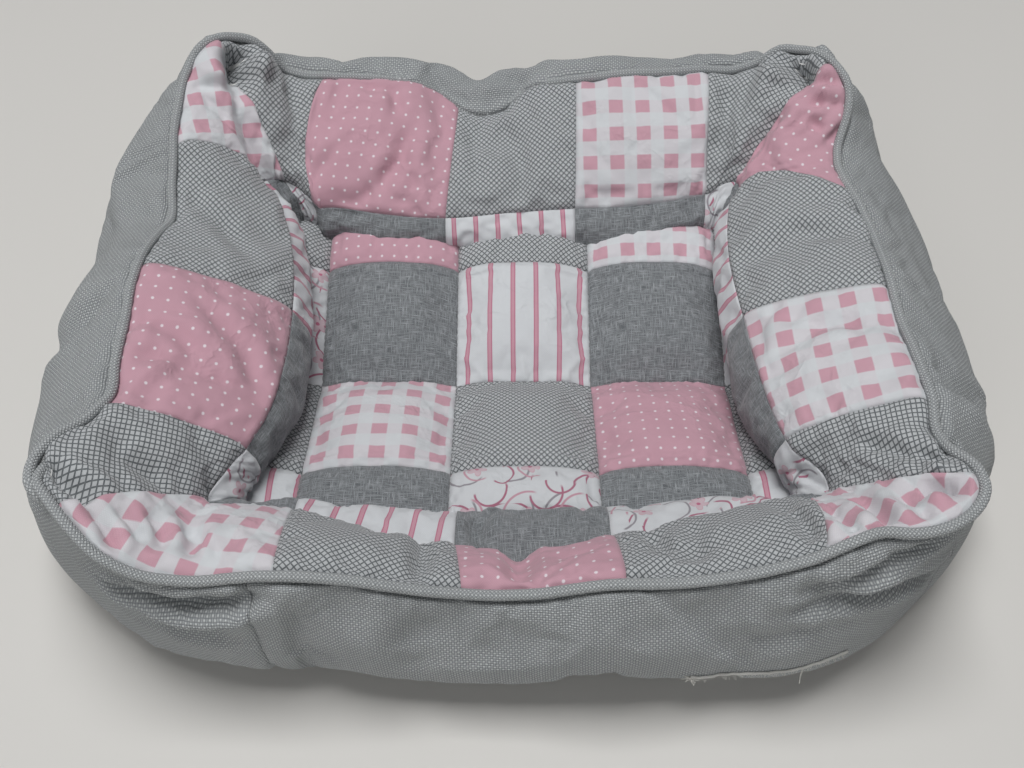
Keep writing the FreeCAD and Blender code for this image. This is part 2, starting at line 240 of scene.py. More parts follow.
# %% Wrinkle group
wrinkles, w, inp, out = group(
    "wrinkles",
    [("Vector", "NodeSocketVector", None), ("Scale", "NodeSocketFloat", 0.05)],
    [("Height", "NodeSocketFloat")])
bent = w.vector("ADD", inp["Vector"], w.scaled(w.noise(inp["Vector"], 0.03, output=1), 24.0))
fold = w.add("ShaderNodeTexNoise", {"Vector": bent, "Scale": inp["Scale"], "Detail": 3.0})
off_middle = w.math("ABSOLUTE", w.math("SUBTRACT", fold, 0.5))
crest = w.math("SUBTRACT", 1.0, w.math("MULTIPLY", off_middle, 5.0), clamp=True)
areas = w.band(w.noise(inp["Vector"], 0.018), 0.4, 0.65)
w.tree.links.new(w.math("MULTIPLY", w.math("POWER", crest, 2.0), areas), out["Height"])
print("group:", wrinkles.name)

# %% [markdown]
# ## Cloth materials
# Every cloth has the same build: a print gives the colour, the weave paints a little shade into the
# gaps between the threads, and the bump comes from the weave, from fuzz and from faint creases. The
# print is a small function that gets u and v in millimetres on the cloth and returns a colour.


# %% Cloth builder
THREAD_GAP_SHADE = (0.22, 0.23, 0.25, 1.0)  # what the shadow between two threads leaves of the print's colour


def cloth_material(name, paint, thread, depth, shade, wrinkle=0.0, roughness=0.9, sheen=0.25, turn=0.0):
    """A woven cloth. paint(w, u, v) gives its colour from the cloth's own millimetres."""
    material = bpy.data.materials.new(name)
    material.use_nodes = True
    w = Wiring(material.node_tree)
    shader = material.node_tree.nodes["Principled BSDF"]
    uv = w.add("ShaderNodeUVMap", uv_map="cloth")
    uv = w.scaled(uv, 1.0 / MM)
    threads = w.add("ShaderNodeMapping", {"Vector": uv, "Rotation": (0.0, 0.0, turn)}) if turn else uv
    node = w.tree.nodes.new("ShaderNodeGroup")
    node.node_tree = weave
    w.tree.links.new(threads, node.inputs["Vector"])
    node.inputs["Thread"].default_value = thread
    u, v = w.split(uv)
    colour = paint(w, u, v)
    # Painted shade: the print darkened as by the shadow that falls into the gaps between the threads.
    dark = w.mix(1.0, colour, THREAD_GAP_SHADE)
    dark.node.blend_type = "MULTIPLY"
    gaps = w.math("MULTIPLY", w.math("SUBTRACT", 1.0, node.outputs["Shade"], clamp=True), shade)
    colour = w.mix(gaps, colour, dark)
    w.tree.links.new(colour, shader.inputs["Base Color"])
    fuzz = w.noise(uv, 1.7, 1.0)
    relief = w.add("ShaderNodeBump", {"Height": w.noise(uv, 0.09, 3.0), "Strength": 0.35, "Distance": 0.0016})
    if wrinkle:
        folds = w.tree.nodes.new("ShaderNodeGroup")
        folds.node_tree = wrinkles
        w.tree.links.new(uv, folds.inputs["Vector"])
        relief = w.add("ShaderNodeBump", {"Height": folds.outputs["Height"], "Strength": 0.8,
                                          "Distance": wrinkle, "Normal": relief})
    relief = w.add("ShaderNodeBump", {"Height": fuzz, "Strength": 0.3, "Distance": 0.0001, "Normal": relief})
    relief = w.add("ShaderNodeBump", {"Height": node.outputs["Height"], "Strength": 0.8,
                                      "Distance": depth, "Normal": relief})
    w.tree.links.new(relief, shader.inputs["Normal"])
    rough = w.math("ADD", w.math("MULTIPLY", fuzz, 0.12), roughness - 0.06)
    w.tree.links.new(rough, shader.inputs["Roughness"])
    shader.inputs["Specular IOR Level"].default_value = 0.25
    shader.inputs["Sheen Weight"].default_value = sheen
    shader.inputs["Sheen Roughness"].default_value = 0.5
    return material


# %% [markdown]
# ## Prints
# Each print is written with its real repeat in millimetres. The gingham is 8.6 mm squares every
# 16.6 mm, and a little wider apart the other way. The stripes stand 13.9 mm apart, the pin dots
# sit on a square grid of 7.6 mm, and the crosshatch is a thin diagonal grid. The floral print is
# a free design of small blossoms with five petals between curled sprigs.

# %% Colours
WHITE = linear(214, 217, 220)
PINK = linear(203, 154, 168)
PALE_PINK = linear(214, 190, 199)
ROSE = linear(190, 112, 138)
DOT_PINK = linear(206, 163, 176)
HATCH_GROUND = linear(190, 193, 195)
HATCH_LINE = linear(84, 89, 92)
CANVAS_GREY = linear(213, 216, 216)
CANVAS_DARK = linear(198, 202, 203)
LINEN_GROUND = linear(100, 104, 107)
LINEN_SLUB = linear(177, 181, 184)
DOT_WHITE = linear(232, 222, 228)
DOT_PINK_DARK = linear(196, 153, 166)
SPRIG_GREY = linear(150, 146, 152)
SPRIG_WINE = linear(176, 104, 128)
FLORAL_GROUND = linear(206, 208, 211)


# %% The plain cloths
def paint_canvas(w, u, v):
    patches = w.noise(w.join(u, v), 0.012, 3.0)
    return w.mix(patches, CANVAS_DARK, CANVAS_GREY)


def paint_linen(w, u, v):
    """Pale slubs of uneven length, both ways, on a darker ground."""
    across, along = 1.9, 0.13
    warp = w.noise(w.join(w.math("MULTIPLY", u, across), w.math("MULTIPLY", v, along)), 1.0, 2.0, 0.7)
    weft = w.noise(w.join(w.math("MULTIPLY", u, along), w.math("MULTIPLY", v, across)), 1.0, 2.0, 0.7)
    threads = w.band(w.math("MAXIMUM", warp, weft), 0.44, 0.74)
    return w.mix(threads, LINEN_GROUND, LINEN_SLUB)


def paint_filling(w, u, v):
    return w.mix(w.noise(w.join(u, v), 0.3), linear(236, 236, 234), linear(246, 246, 245))


def paint_bottom(w, u, v):
    return w.mix(w.noise(w.join(u, v), 0.2), linear(112, 112, 110), linear(126, 126, 124))


def paint_raw_edge(w, u, v):
    return w.mix(w.noise(w.join(u, v), 0.9), linear(206, 205, 200), linear(226, 225, 220))


# %% The printed cloths
def paint_crosshatch(w, u, v):
    """Thin dark lines on both diagonals."""
    pitch, half_line, soft = 2.35, 0.14, 0.03
    lines = 0.0
    for sign in (1.0, -1.0):
        diagonal = w.math("MULTIPLY", w.math("ADD", u, w.math("MULTIPLY", v, sign)), math.sqrt(0.5))
        near = w.band(w.wave(diagonal, pitch), 0.5 - half_line - soft, 0.5 - half_line + soft)
        lines = w.math("MAXIMUM", lines, near)
    worn = w.math("ADD", w.math("MULTIPLY", w.noise(w.join(u, v), 0.8), 0.5), 0.62, clamp=True)
    return w.mix(w.math("MULTIPLY", lines, worn), HATCH_GROUND, HATCH_LINE)


def paint_gingham(w, u, v):
    """Bands of pink both ways, and full pink where they cross."""
    wide, high, square, soft = 16.6, 17.6, 8.6, 0.015
    bands = []
    for value, period in ((u, wide), (v, high)):
        half = square / period / 2
        edge = w.math("SUBTRACT", 0.5, w.wave(value, period, 0.5))
        bands.append(w.band(edge, half + soft, half - soft))
    both = w.math("MULTIPLY", bands[0], bands[1])
    one = w.math("MULTIPLY", w.math("MAXIMUM", bands[0], bands[1]), 0.22)
    fibres = w.noise(w.join(w.math("MULTIPLY", u, 2.2), w.math("MULTIPLY", v, 0.4)), 1.0)
    pink = w.mix(fibres, PINK, PALE_PINK)
    return w.mix(both, w.mix(one, WHITE, PALE_PINK), w.mix(0.35, PINK, pink))


def paint_pin_dots(w, u, v):
    """Small white dots on a square grid."""
    spacing, dot, soft = 7.6, 0.78, 0.2
    from_dot = []
    for value in (u, v):
        part = w.math("FRACT", w.math("DIVIDE", value, spacing))
        from_dot.append(w.math("MULTIPLY", w.math("SUBTRACT", part, 0.5), spacing))
    du, dv = from_dot
    distance = w.math("SQRT", w.math("ADD", w.math("MULTIPLY", du, du), w.math("MULTIPLY", dv, dv)))
    dots = w.band(distance, dot + soft, dot - soft)
    ground = w.mix(w.noise(w.join(u, v), 0.05, 3.0), DOT_PINK, DOT_PINK_DARK)
    return w.mix(dots, ground, DOT_WHITE)


def paint_stripes(w, u, v):
    """Pink stripes with darker edges."""
    period, stripe, core_share = 13.9, 2.9, 0.62
    edge = w.math("SUBTRACT", 0.5, w.wave(u, period, 0.5))
    half = stripe / period / 2
    body = w.band(edge, half + 0.012, half - 0.012)
    core = w.band(edge, half * core_share + 0.01, half * core_share - 0.01)
    return w.mix(body, WHITE, w.mix(core, ROSE, PINK))


def paint_floral(w, u, v):
    """Curled sprigs in three layers, and on top of them blossoms with five petals."""
    cell, petals = 29.0, 5.0
    place = w.join(w.math("DIVIDE", u, cell), w.math("DIVIDE", v, cell))
    colour = w.mix(w.noise(w.join(u, v), 0.05), FLORAL_GROUND, WHITE)
    layers = (  # shift of the layer and size of its motif in cells, colour, and whether it blossoms
        (0.23, 0.25, SPRIG_GREY, False),
        (0.71, 0.24, SPRIG_WINE, False),
        (0.47, 0.2, SPRIG_WINE, False),
        (0.0, 0.19, PINK, True),
    )
    for shift, size, tint, blossoms in layers:
        moved = w.vector("ADD", place, (shift, shift * 0.8, 0.0))
        whole = w.add("ShaderNodeVectorMath", {0: moved}, operation="FLOOR")
        seeded = w.vector("ADD", whole, (shift * 31.0, 0.0, 0.0))
        chance = w.add("ShaderNodeTexWhiteNoise", {"Vector": seeded}, output=1, noise_dimensions="2D")
        centre = w.vector("ADD", w.scaled(chance, 0.3), (0.35, 0.35, 0.0))
        a, b = w.split(w.vector("SUBTRACT", w.vector("SUBTRACT", moved, whole), centre))
        radius = w.math("SQRT", w.math("ADD", w.math("MULTIPLY", a, a), w.math("MULTIPLY", b, b)))
        angle = w.math("ADD", w.math("ARCTAN2", b, a), w.math("MULTIPLY", w.split(chance)[0], 6.0))
        curl = w.math("SUBTRACT", radius, w.math("ADD", w.math("MULTIPLY", angle, 0.045), size * 1.15))
        stem = w.band(w.math("ABSOLUTE", curl), 0.026, 0.014)
        part = w.band(w.math("SINE", w.math("ADD", angle, 1.0)), -0.2, 0.0)
        colour = w.mix(w.math("MULTIPLY", stem, part), colour, w.mix(0.15, tint, SPRIG_GREY))
        if not blossoms:
            continue
        lobe = w.math("ABSOLUTE", w.math("SINE", w.math("MULTIPLY", angle, petals / 2)))
        reach = w.math("MULTIPLY", w.math("ADD", w.math("MULTIPLY", lobe, 0.5), 0.5), size)
        petal = w.band(w.math("SUBTRACT", radius, reach), 0.008, -0.008)
        vein = w.band(w.math("SUBTRACT", reach, radius), 0.03, 0.0)
        heart = w.band(radius, size * 0.24, size * 0.16)
        colour = w.mix(petal, colour, w.mix(vein, w.mix(0.55, WHITE, tint), tint))
        colour = w.mix(heart, colour, ROSE)
    return colour


# %% Make the materials
COTTON = dict(thread=0.55, depth=0.00008, shade=0.16, wrinkle=0.0012)
MATERIALS = {
    "canvas": cloth_material("basket_weave_canvas", paint_canvas, 1.3, 0.0009, 1.0, sheen=0.1),
    "piping_canvas": cloth_material("bias_canvas", paint_canvas, 1.3, 0.0009, 0.9, sheen=0.1,
                                    turn=math.radians(45.0)),
    "bottom_cloth": cloth_material("bottom_cloth", paint_bottom, 0.9, 0.0002, 0.3),
    "filling": cloth_material("fibre_filling", paint_filling, 2.0, 0.0006, 0.1),
    "crosshatch": cloth_material("crosshatch_cotton", paint_crosshatch, **COTTON),
    "gingham": cloth_material("gingham_cotton", paint_gingham, **COTTON),
    "pink_dot": cloth_material("pin_dot_cotton", paint_pin_dots, **COTTON),
    "floral": cloth_material("floral_cotton", paint_floral, **COTTON),
    "grey_linen": cloth_material("grey_linen_cotton", paint_linen, thread=0.7, depth=0.00012, shade=0.3),
    "stripe": cloth_material("striped_cotton", paint_stripes, **COTTON),
    "piping_cord": cloth_material("cotton_cord", paint_filling, 1.2, 0.0006, 0.3),
    "raw_edge": cloth_material("raw_canvas_edge", paint_raw_edge, 0.5, 0.0003, 0.35),
}
print("materials:", ", ".join(MATERIALS))

# %% [markdown]
# ## A coordinate that runs round the bed
# The well is a rectangle. A point on the ring is given by how far along the rectangle's edge it
# stands, how far outwards from that edge, and its height. At a corner of the well the outward
# direction turns through a right angle, which takes FAN millimetres of the coordinate. The ring
# starts at the front of the right wall and runs counter-clockwise.

# %% The ring coordinate
WELL_HALF = 123.0
WELL_BACK = 88.0
WELL_FRONT = -100.0
FAN = 100.0
WELL_WALLS = (  # name, start of the edge, its direction and its length
    ("right", (WELL_HALF, WELL_FRONT), (0.0, 1.0), WELL_BACK - WELL_FRONT),
    ("back", (WELL_HALF, WELL_BACK), (-1.0, 0.0), 2 * WELL_HALF),
    ("left", (-WELL_HALF, WELL_BACK), (0.0, -1.0), WELL_BACK - WELL_FRONT),
    ("front", (-WELL_HALF, WELL_FRONT), (1.0, 0.0), 2 * WELL_HALF),
)
WALL_STARTS = np.cumsum([0.0] + [wall[3] + FAN for wall in WELL_WALLS])
RING_LENGTH = WALL_STARTS[-1]


def ring_place(x, y):
    """How far round the ring a point is, and how far outwards."""
    inside = []
    for (_, (wx, wy), (dx, dy), length), start in zip(WELL_WALLS, WALL_STARTS):
        along = (x - wx) * dx + (y - wy) * dy
        outwards = (x - wx) * dy - (y - wy) * dx
        if along > length and outwards > 0.0:
            turned = math.atan2(along - length, outwards) / (math.pi / 2)
            return start + length + FAN * turned, math.hypot(along - length, outwards)
        if 0.0 <= along <= length:
            inside.append((outwards, start + along))
    outwards, s = max(inside)
    return s, outwards


def ring_points(s, r):
    """x and y of places on the ring."""
    s = np.mod(s, RING_LENGTH)
    x, y = np.zeros_like(s), np.zeros_like(s)
    for (_, (wx, wy), (dx, dy), length), start in zip(WELL_WALLS, WALL_STARTS):
        here = (s >= start) & (s <= start + length + FAN)
        along = np.minimum(s - start, length)
        turn = np.maximum(s - start - length, 0.0) / FAN * math.pi / 2
        ox = dy * np.cos(turn) + dx * np.sin(turn)
        oy = -dx * np.cos(turn) + dy * np.sin(turn)
        x = np.where(here, wx + dx * along + ox * r, x)
        y = np.where(here, wy + dy * along + oy * r, y)
    return x, y


print("ring length in mm:", RING_LENGTH)

# %% [markdown]
# ## Contours
# Six lines run all round the bed: where the lining dives under, the bulge over the base, the
# seam between the two rows of patches, the piped rim, the widest line of the outer wall, and
# the seam at the bottom. Four of them are short lists of points in millimetres, counter-clockwise,
# with a smooth closed curve through each. The hidden edge follows the bulge, and the bottom seam
# is worked out from the size of the frame's bottom panel. Between the contours the cloth is drawn
# as a section.

# %% Contour points
RIM = [
    (202, -119, 126), (203, -93, 128), (203, -68, 126), (203, -36, 121), (203, 0, 122), (203, 33, 118),
    (199, 56, 121), (194, 76, 122), (193, 92, 123), (196, 107, 127), (201, 120, 137), (202, 130, 145),
    (199, 140, 150), (194, 149, 152), (186, 159, 153), (175, 167, 151), (165, 170, 149), (155, 170, 141),
    (142, 170, 135), (116, 170, 134), (77, 170, 131), (32, 170, 126), (14, 170, 121), (2, 168, 114),
    (-10, 163, 108), (-24, 160, 105), (-36, 164, 107), (-49, 170, 113), (-63, 170, 121), (-82, 170, 126),
    (-118, 170, 129), (-140, 170, 131), (-150, 170, 136), (-156, 170, 145), (-164, 170, 154),
    (-175, 167, 160), (-187, 159, 162), (-195, 151, 160), (-201, 137, 154), (-203, 117, 147),
    (-203, 90, 138), (-202, 66, 126), (-200, 45, 118), (-202, 27, 123), (-204, 8, 129), (-205, -10, 132),
    (-204, -40, 130), (-203, -71, 127), (-203, -98, 127), (-209, -112, 131), (-217, -124, 135),
    (-222, -138, 136), (-219, -151, 136), (-211, -161, 135), (-200, -173, 132), (-187, -183, 124),
    (-172, -187, 116), (-152, -188, 111), (-129, -187, 112), (-108, -187, 114), (-72, -187, 109),
    (-43, -187, 101), (-11, -187, 97), (6, -187, 98), (42, -187, 107), (73, -187, 108), (101, -187, 115),
    (129, -185, 125), (146, -181, 133), (161, -177, 135), (175, -178, 135), (191, -175, 136),
    (204, -166, 136), (211, -154, 136), (210, -140, 134), (204, -129, 130),
]
ROW_SEAM = [
    (139, -92, 88), (131, -50, 90), (128, -6, 90), (126, 44, 91), (130, 80, 93), (139, 98, 95),
    (138, 108, 92), (121, 106, 84), (78, 100, 80), (37, 98, 79), (-4, 95, 78), (-45, 90, 78),
    (-86, 93, 79), (-109, 97, 80), (-130, 101, 83), (-146, 111, 90), (-157, 106, 95), (-142, 71, 92),
    (-131, 27, 90), (-128, -2, 90), (-128, -50, 90), (-132, -76, 89), (-140, -98, 88), (-150, -113, 86),
    (-156, -126, 83), (-136, -127, 78), (-114, -127, 74), (-91, -132, 71), (-59, -141, 70), (-32, -147, 70),
    (1, -151, 70), (31, -145, 70), (47, -141, 70), (67, -138, 71), (92, -132, 73), (120, -127, 77),
    (141, -128, 80), (155, -124, 84),
]
BULGE = [
    (141, -86, 57), (135, -68, 56), (129, -40, 55), (126, 0, 56), (127, 50, 58), (131, 85, 60),
    (129, 98, 61), (120, 96, 60), (79, 86, 59), (38, 84, 58), (-4, 83, 58), (-45, 84, 58), (-88, 86, 59),
    (-120, 92, 60), (-139, 101, 61), (-138, 84, 60), (-132, 53, 58), (-126, 10, 56), (-125, -14, 55),
    (-127, -44, 55), (-132, -68, 56), (-141, -98, 57), (-143, -113, 57), (-120, -112, 54), (-88, -111, 52),
    (-36, -112, 51), (12, -110, 51), (65, -110, 52), (110, -108, 54), (145, -108, 57),
]
OUTER = [
    (252, -93, 63), (255, -60, 66), (254, 24, 68), (250, 84, 71), (235, 136, 74), (203, 177, 75),
    (160, 205, 73), (110, 212, 71), (60, 213, 69), (0, 213, 68), (-60, 213, 69), (-110, 212, 71),
    (-160, 205, 73), (-204, 178, 75), (-240, 138, 74), (-257, 84, 71), (-260, 24, 68), (-259, -60, 66),
    (-256, -103, 62), (-243, -136, 59), (-217, -157, 57), (-187, -179, 56), (-152, -190, 55),
    (-108, -194, 55), (-45, -200, 56), (0, -202, 56), (50, -202, 56), (108, -198, 55), (147, -194, 55),
    (179, -178, 56), (206, -154, 58), (235, -124, 61),
]
BOTTOM_LOW, BOTTOM_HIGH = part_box("bottom_panel")
FOOT_SIDE = BOTTOM_HIGH.x / MM - WELL_HALF
FOOT_BACK = BOTTOM_HIGH.y / MM - WELL_BACK
FOOT_TUCK = 17.0
FOOT_FRONT = WELL_FRONT - BOTTOM_LOW.y / MM - FOOT_TUCK
FOOT_SQUARENESS = 2.2  # 2 would turn the bottom seam's corners as an ellipse
FOOT_HEIGHT = 1.2
UNDER_REACH = 14.0  # how far the lining runs in under the bulge
SEAT_REACH = 45.0  # how far the base runs out under the walls


# %% Curves through the contour points
class Contour:
    """A closed smooth curve, given by its distance outwards and its height at each place."""

    def __init__(self, points):
        rows = sorted((*ring_place(x, y), z) for x, y, z in points)
        s, r, z = np.array(rows, float).T
        self.s = np.concatenate([s - RING_LENGTH, s, s + RING_LENGTH])
        self.values = [np.tile(r, 3), np.tile(z, 3)]

    def at(self, s):
        """Distance outwards and height, through the points by cubic pieces."""
        s = np.mod(s, RING_LENGTH)
        k = np.searchsorted(self.s, s, side="right") - 1
        s0, s1 = self.s[k], self.s[k + 1]
        t = (s - s0) / (s1 - s0)
        found = []
        for v in self.values:
            slope = np.gradient(v, self.s)
            m0, m1 = slope[k] * (s1 - s0), slope[k + 1] * (s1 - s0)
            found.append((2 * t**3 - 3 * t**2 + 1) * v[k] + (t**3 - 2 * t**2 + t) * m0
                         + (3 * t**2 - 2 * t**3) * v[k + 1] + (t**3 - t**2) * m1)
        return found


def foot_reach(s):
    """Distance outwards of the bottom seam, which turns the corners in a round sweep."""
    reach = np.zeros_like(s)
    sides = [FOOT_SIDE, FOOT_BACK, FOOT_SIDE, FOOT_FRONT]
    for i, ((_, _, _, length), start) in enumerate(zip(WELL_WALLS, WALL_STARTS)):
        turn = np.clip((s - start - length) / FAN, 0.0, 1.0) * math.pi / 2
        here = (s >= start) & (s <= start + length + FAN)
        a = np.cos(turn) / sides[i]
        b = np.sin(turn) / sides[(i + 1) % 4]
        reach = np.where(here, (a**FOOT_SQUARENESS + b**FOOT_SQUARENESS) ** (-1 / FOOT_SQUARENESS), reach)
    return reach


rim, row_seam, bulge, outer = Contour(RIM), Contour(ROW_SEAM), Contour(BULGE), Contour(OUTER)
SWELL = 4.0  # how far the stuffing pushes the canvas out later
outer.values[0] -= SWELL

# %% [markdown]
# ## Where the patches meet
# Eighteen seams run across the walls, four of them down the mitres of the corners. Each is
# given by its place on the row seam and on the rim, because most of them run a little askew.

# %% Cross seams
CROSS_SEAMS = [  # (x, y) on the row seam, (x, y) on the rim, counter-clockwise from the front right mitre
    ((155, -124), (211, -147)), ((139, -92), (203, -96)), ((128, -6), (200, -13)), ((139, 98), (197, 65)),
    ((138, 107), (195, 151)), ((120, 106), (122, 170)), ((37, 98), (38, 170)), ((-45, 90), (-37, 166)),
    ((-130, 101), (-122, 170)), ((-147, 111), (-183, 162)), ((-157, 106), (-203, 88)),
    ((-128, -2), (-203, -6)), ((-140, -98), (-203, -99)), ((-156, -127), (-212, -166)),
    ((-114, -127), (-110, -187)), ((-32, -147), (-26, -187)), ((47, -141), (49, -187)),
    ((141, -128), (134, -185)),
]
MITRES = (0, 4, 9, 13)
SEAM_WALLS = ["right"] * 4 + ["back"] * 5 + ["left"] * 4 + ["front"] * 5
UPPER_PRINTS = ["crosshatch", "gingham", "crosshatch", "pink_dot",
                "crosshatch", "gingham", "crosshatch", "pink_dot", "crosshatch",
                "gingham", "crosshatch", "pink_dot", "crosshatch",
                "gingham", "crosshatch", "pink_dot", "crosshatch", "gingham"]
LOWER_PRINTS = ["floral", "grey_linen", "stripe", "grey_linen",
                "floral", "grey_linen", "stripe", "grey_linen", "floral",
                "grey_linen", "stripe", "grey_linen", "floral",
                "grey_linen", "stripe", "grey_linen", "floral", "grey_linen"]
PATCHES = len(CROSS_SEAMS)
GRID_PITCH = 4.0
FEWEST_CELLS = 6
LOWER_ROWS, UPPER_ROWS, CANVAS_ROWS = 15, 20, 44
ROW_SEAM_ROW = LOWER_ROWS
RIM_ROW = LOWER_ROWS + UPPER_ROWS
FOOT_ROW = RIM_ROW + CANVAS_ROWS


def unrolled(places):
    """Ring coordinates in rising order, from a list that crosses the start of the ring."""
    values = [ring_place(x, y)[0] for x, y in places]
    for i in range(1, len(values)):
        while values[i] < values[i - 1] - RING_LENGTH / 2:
            values[i] += RING_LENGTH
    return np.array(values)


low_places = unrolled([low for low, _ in CROSS_SEAMS]) - RING_LENGTH
rim_places = unrolled([high for _, high in CROSS_SEAMS]) - RING_LENGTH
low_ends = np.append(low_places, low_places[0] + RING_LENGTH)
rim_ends = np.append(rim_places, rim_places[0] + RING_LENGTH)


def distance_along(contour, start, end, steps=60):
    """Length of a contour between two places."""
    s = np.linspace(start, end, steps)
    r, z = contour.at(s)
    x, y = ring_points(s, r)
    return float(np.sum(np.sqrt(np.diff(x)**2 + np.diff(y)**2 + np.diff(z)**2)))


CELLS = []
for one, two in zip(rim_ends, rim_ends[1:]):
    CELLS.append(max(FEWEST_CELLS, round(distance_along(rim, one, two) / GRID_PITCH)))
LINE_COLUMNS = np.cumsum([0] + CELLS)
COLUMNS = int(LINE_COLUMNS[-1])
share = np.concatenate([np.arange(n) / n for n in CELLS])
patch_of_column = np.concatenate([[k] * n for k, n in enumerate(CELLS)])
low_s = low_ends[patch_of_column] + share * (low_ends[patch_of_column + 1] - low_ends[patch_of_column])
rim_s = rim_ends[patch_of_column] + share * (rim_ends[patch_of_column + 1] - rim_ends[patch_of_column])
print("columns round the ring:", COLUMNS)

# %% [markdown]
# ## The section of the wall
# From the hidden edge under the bulge, the lining rises over the bulge to the row seam, arches
# over to the rim, and the canvas falls over its widest line to the bottom seam. Every section
# is a smooth line through those points, cut into equal steps. Behind the back rim the stuffing
# stands higher than the dip of the rim, so the canvas has its own height there.

# %% Sections
UPPER_PUFF = 7.0  # how far the upper row bows out between the row seam and the rim
LOWER_PUFF = 5.0  # the same between the bulge and the row seam
ARCH = ((0.06, 0.45), (0.2, 0.8), (0.5, 1.0), (0.8, 0.8), (0.94, 0.45))  # share along, share of the bow
# The brow and the shoulder of the canvas, as shares of the way from the rim to its widest line.
BROW_REACH, BROW_DROP = 0.30, 0.08
SHOULDER = 0.70
# The curl of the canvas under its widest line, as shares of the way up from the bottom seam.
CURL_REACH, CURL_HEIGHT = 0.78, 0.30
# Behind the back rim: the brow's distance and height, how much they count, and where they fade.
BACK_BROW_REACH, BACK_BROW_HEIGHT = 16.0, 137.0
BACK_SHARE = 0.6
EAR_X = 165.0
BACK_FADE = 15.0
# Under the bulge: how far the lining is tucked in, and the height of the base's seams along y.
TUCK_SHARE = 0.45
TUCK_SAG = np.array([-2.5, -6.0])
UNDER_Y = [-130, -88, -48, -6, 35, 76, 110]
UNDER_Z = [54, 50, 37, 30, 40, 58, 62]
UNDER_CLEAR = 1.0
SECTION_FINENESS = 12  # points between two given points of a section


def between(a, b, c, d, t):
    """A point at share t of the way from b to c, on a smooth curve through a, b, c and d."""
    return 0.5 * (2 * b + (c - a) * t + (2 * a - 5 * b + 4 * c - d) * t**2 + (3 * b - a - 3 * c + d) * t**3)


def with_ends(points):
    """The points with one more at each end, straight on."""
    return np.concatenate([2 * points[:1] - points[1:2], points, 2 * points[-1:] - points[-2:-1]])


def steps_of(points, axis=0):
    """Distances between neighbouring points."""
    return np.sqrt((np.diff(points, axis=axis)**2).sum(-1))


def smooth_section(points, rows):
    """Points (n, columns, 2) to rows + 1 points at equal distances along a smooth line."""
    padded = with_ends(np.asarray(points, float))
    fine = []
    for i in range(1, len(padded) - 2):
        for t in np.arange(SECTION_FINENESS) / SECTION_FINENESS:
            fine.append(between(*padded[i - 1:i + 3], t))
    fine = np.array(fine + [padded[-2]])
    steps = steps_of(fine)
    along = np.concatenate([np.zeros((1, steps.shape[1])), np.cumsum(steps, 0)])
    result = np.zeros((rows + 1, padded.shape[1], 2))
    for j in range(padded.shape[1]):
        wanted = np.linspace(0, along[-1, j], rows + 1)
        for axis in (0, 1):
            result[:, j, axis] = np.interp(wanted, along[:, j], fine[:, j, axis])
    return result


def arched(start, end, height):
    """Points from start to end that bow up and inwards by height."""
    chord = end - start
    length = np.sqrt((chord**2).sum(1, keepdims=True))
    normal = np.stack([-chord[:, 1], chord[:, 0]], 1) / length
    return [start] + [start + chord * t + normal * height * h for t, h in ARCH] + [end]


def base_height(y):
    """Height of the seams of the base, a trough from back to front."""
    return np.interp(y, UNDER_Y, UNDER_Z)


def on_back(s, r):
    """1 along the back wall, where the canvas stands up behind the rim, and 0 on the other walls."""
    x, y = ring_points(s, r)
    return np.clip((EAR_X - np.abs(x)) / BACK_FADE, 0.0, 1.0) * (y > WELL_BACK)


def section_at(s):
    """The points that the section at s runs through, as r and z: lower row, upper row, canvas."""
    point = {name: np.stack(contour.at(s), 1) for name, contour in
             (("rim", rim), ("seam", row_seam), ("bulge", bulge), ("outer", outer))}
    x, y = ring_points(s, point["bulge"][:, 0])
    under = np.stack([point["bulge"][:, 0] + UNDER_REACH, base_height(y) + UNDER_CLEAR], 1)
    foot = np.stack([foot_reach(np.mod(s, RING_LENGTH)), np.full_like(s, FOOT_HEIGHT)], 1)
    chord = point["seam"] - point["bulge"]
    normal = np.stack([-chord[:, 1], chord[:, 0]], 1) / np.sqrt((chord**2).sum(1, keepdims=True))
    low_mid = (point["bulge"] + point["seam"]) / 2 + normal * LOWER_PUFF
    tucked = under * (1 - TUCK_SHARE) + point["bulge"] * TUCK_SHARE + TUCK_SAG
    lower = [under, tucked, point["bulge"], low_mid, point["seam"]]
    upper = arched(point["seam"], point["rim"], UPPER_PUFF)
    reach = point["outer"] - point["rim"]
    shoulder = point["rim"] + reach * np.array([SHOULDER, 1 - SHOULDER])
    brow = point["rim"] + reach * np.array([BROW_REACH, BROW_DROP])
    high = point["rim"] * [1.0, 1 - BACK_SHARE] + [BACK_BROW_REACH, BACK_SHARE * BACK_BROW_HEIGHT]
    brow = brow + (high - brow) * on_back(s, point["rim"][:, 0])[:, None]
    curl = foot + (point["outer"] - foot) * np.array([CURL_REACH, CURL_HEIGHT])
    canvas = [point["rim"], brow, shoulder, point["outer"], curl, foot]
    return lower, upper, canvas


lower_points, _, _ = section_at(low_s)
_, _, canvas_points = section_at(rim_s)
lower_part = smooth_section(lower_points, LOWER_ROWS)
canvas_part = smooth_section(canvas_points, CANVAS_ROWS)


def in_space(s, section):
    """(rows, columns, 3) from a section that stands at s."""
    x, y = ring_points(np.broadcast_to(s, section.shape[:2]), section[..., 0])
    return np.stack([x, y, section[..., 1]], -1)


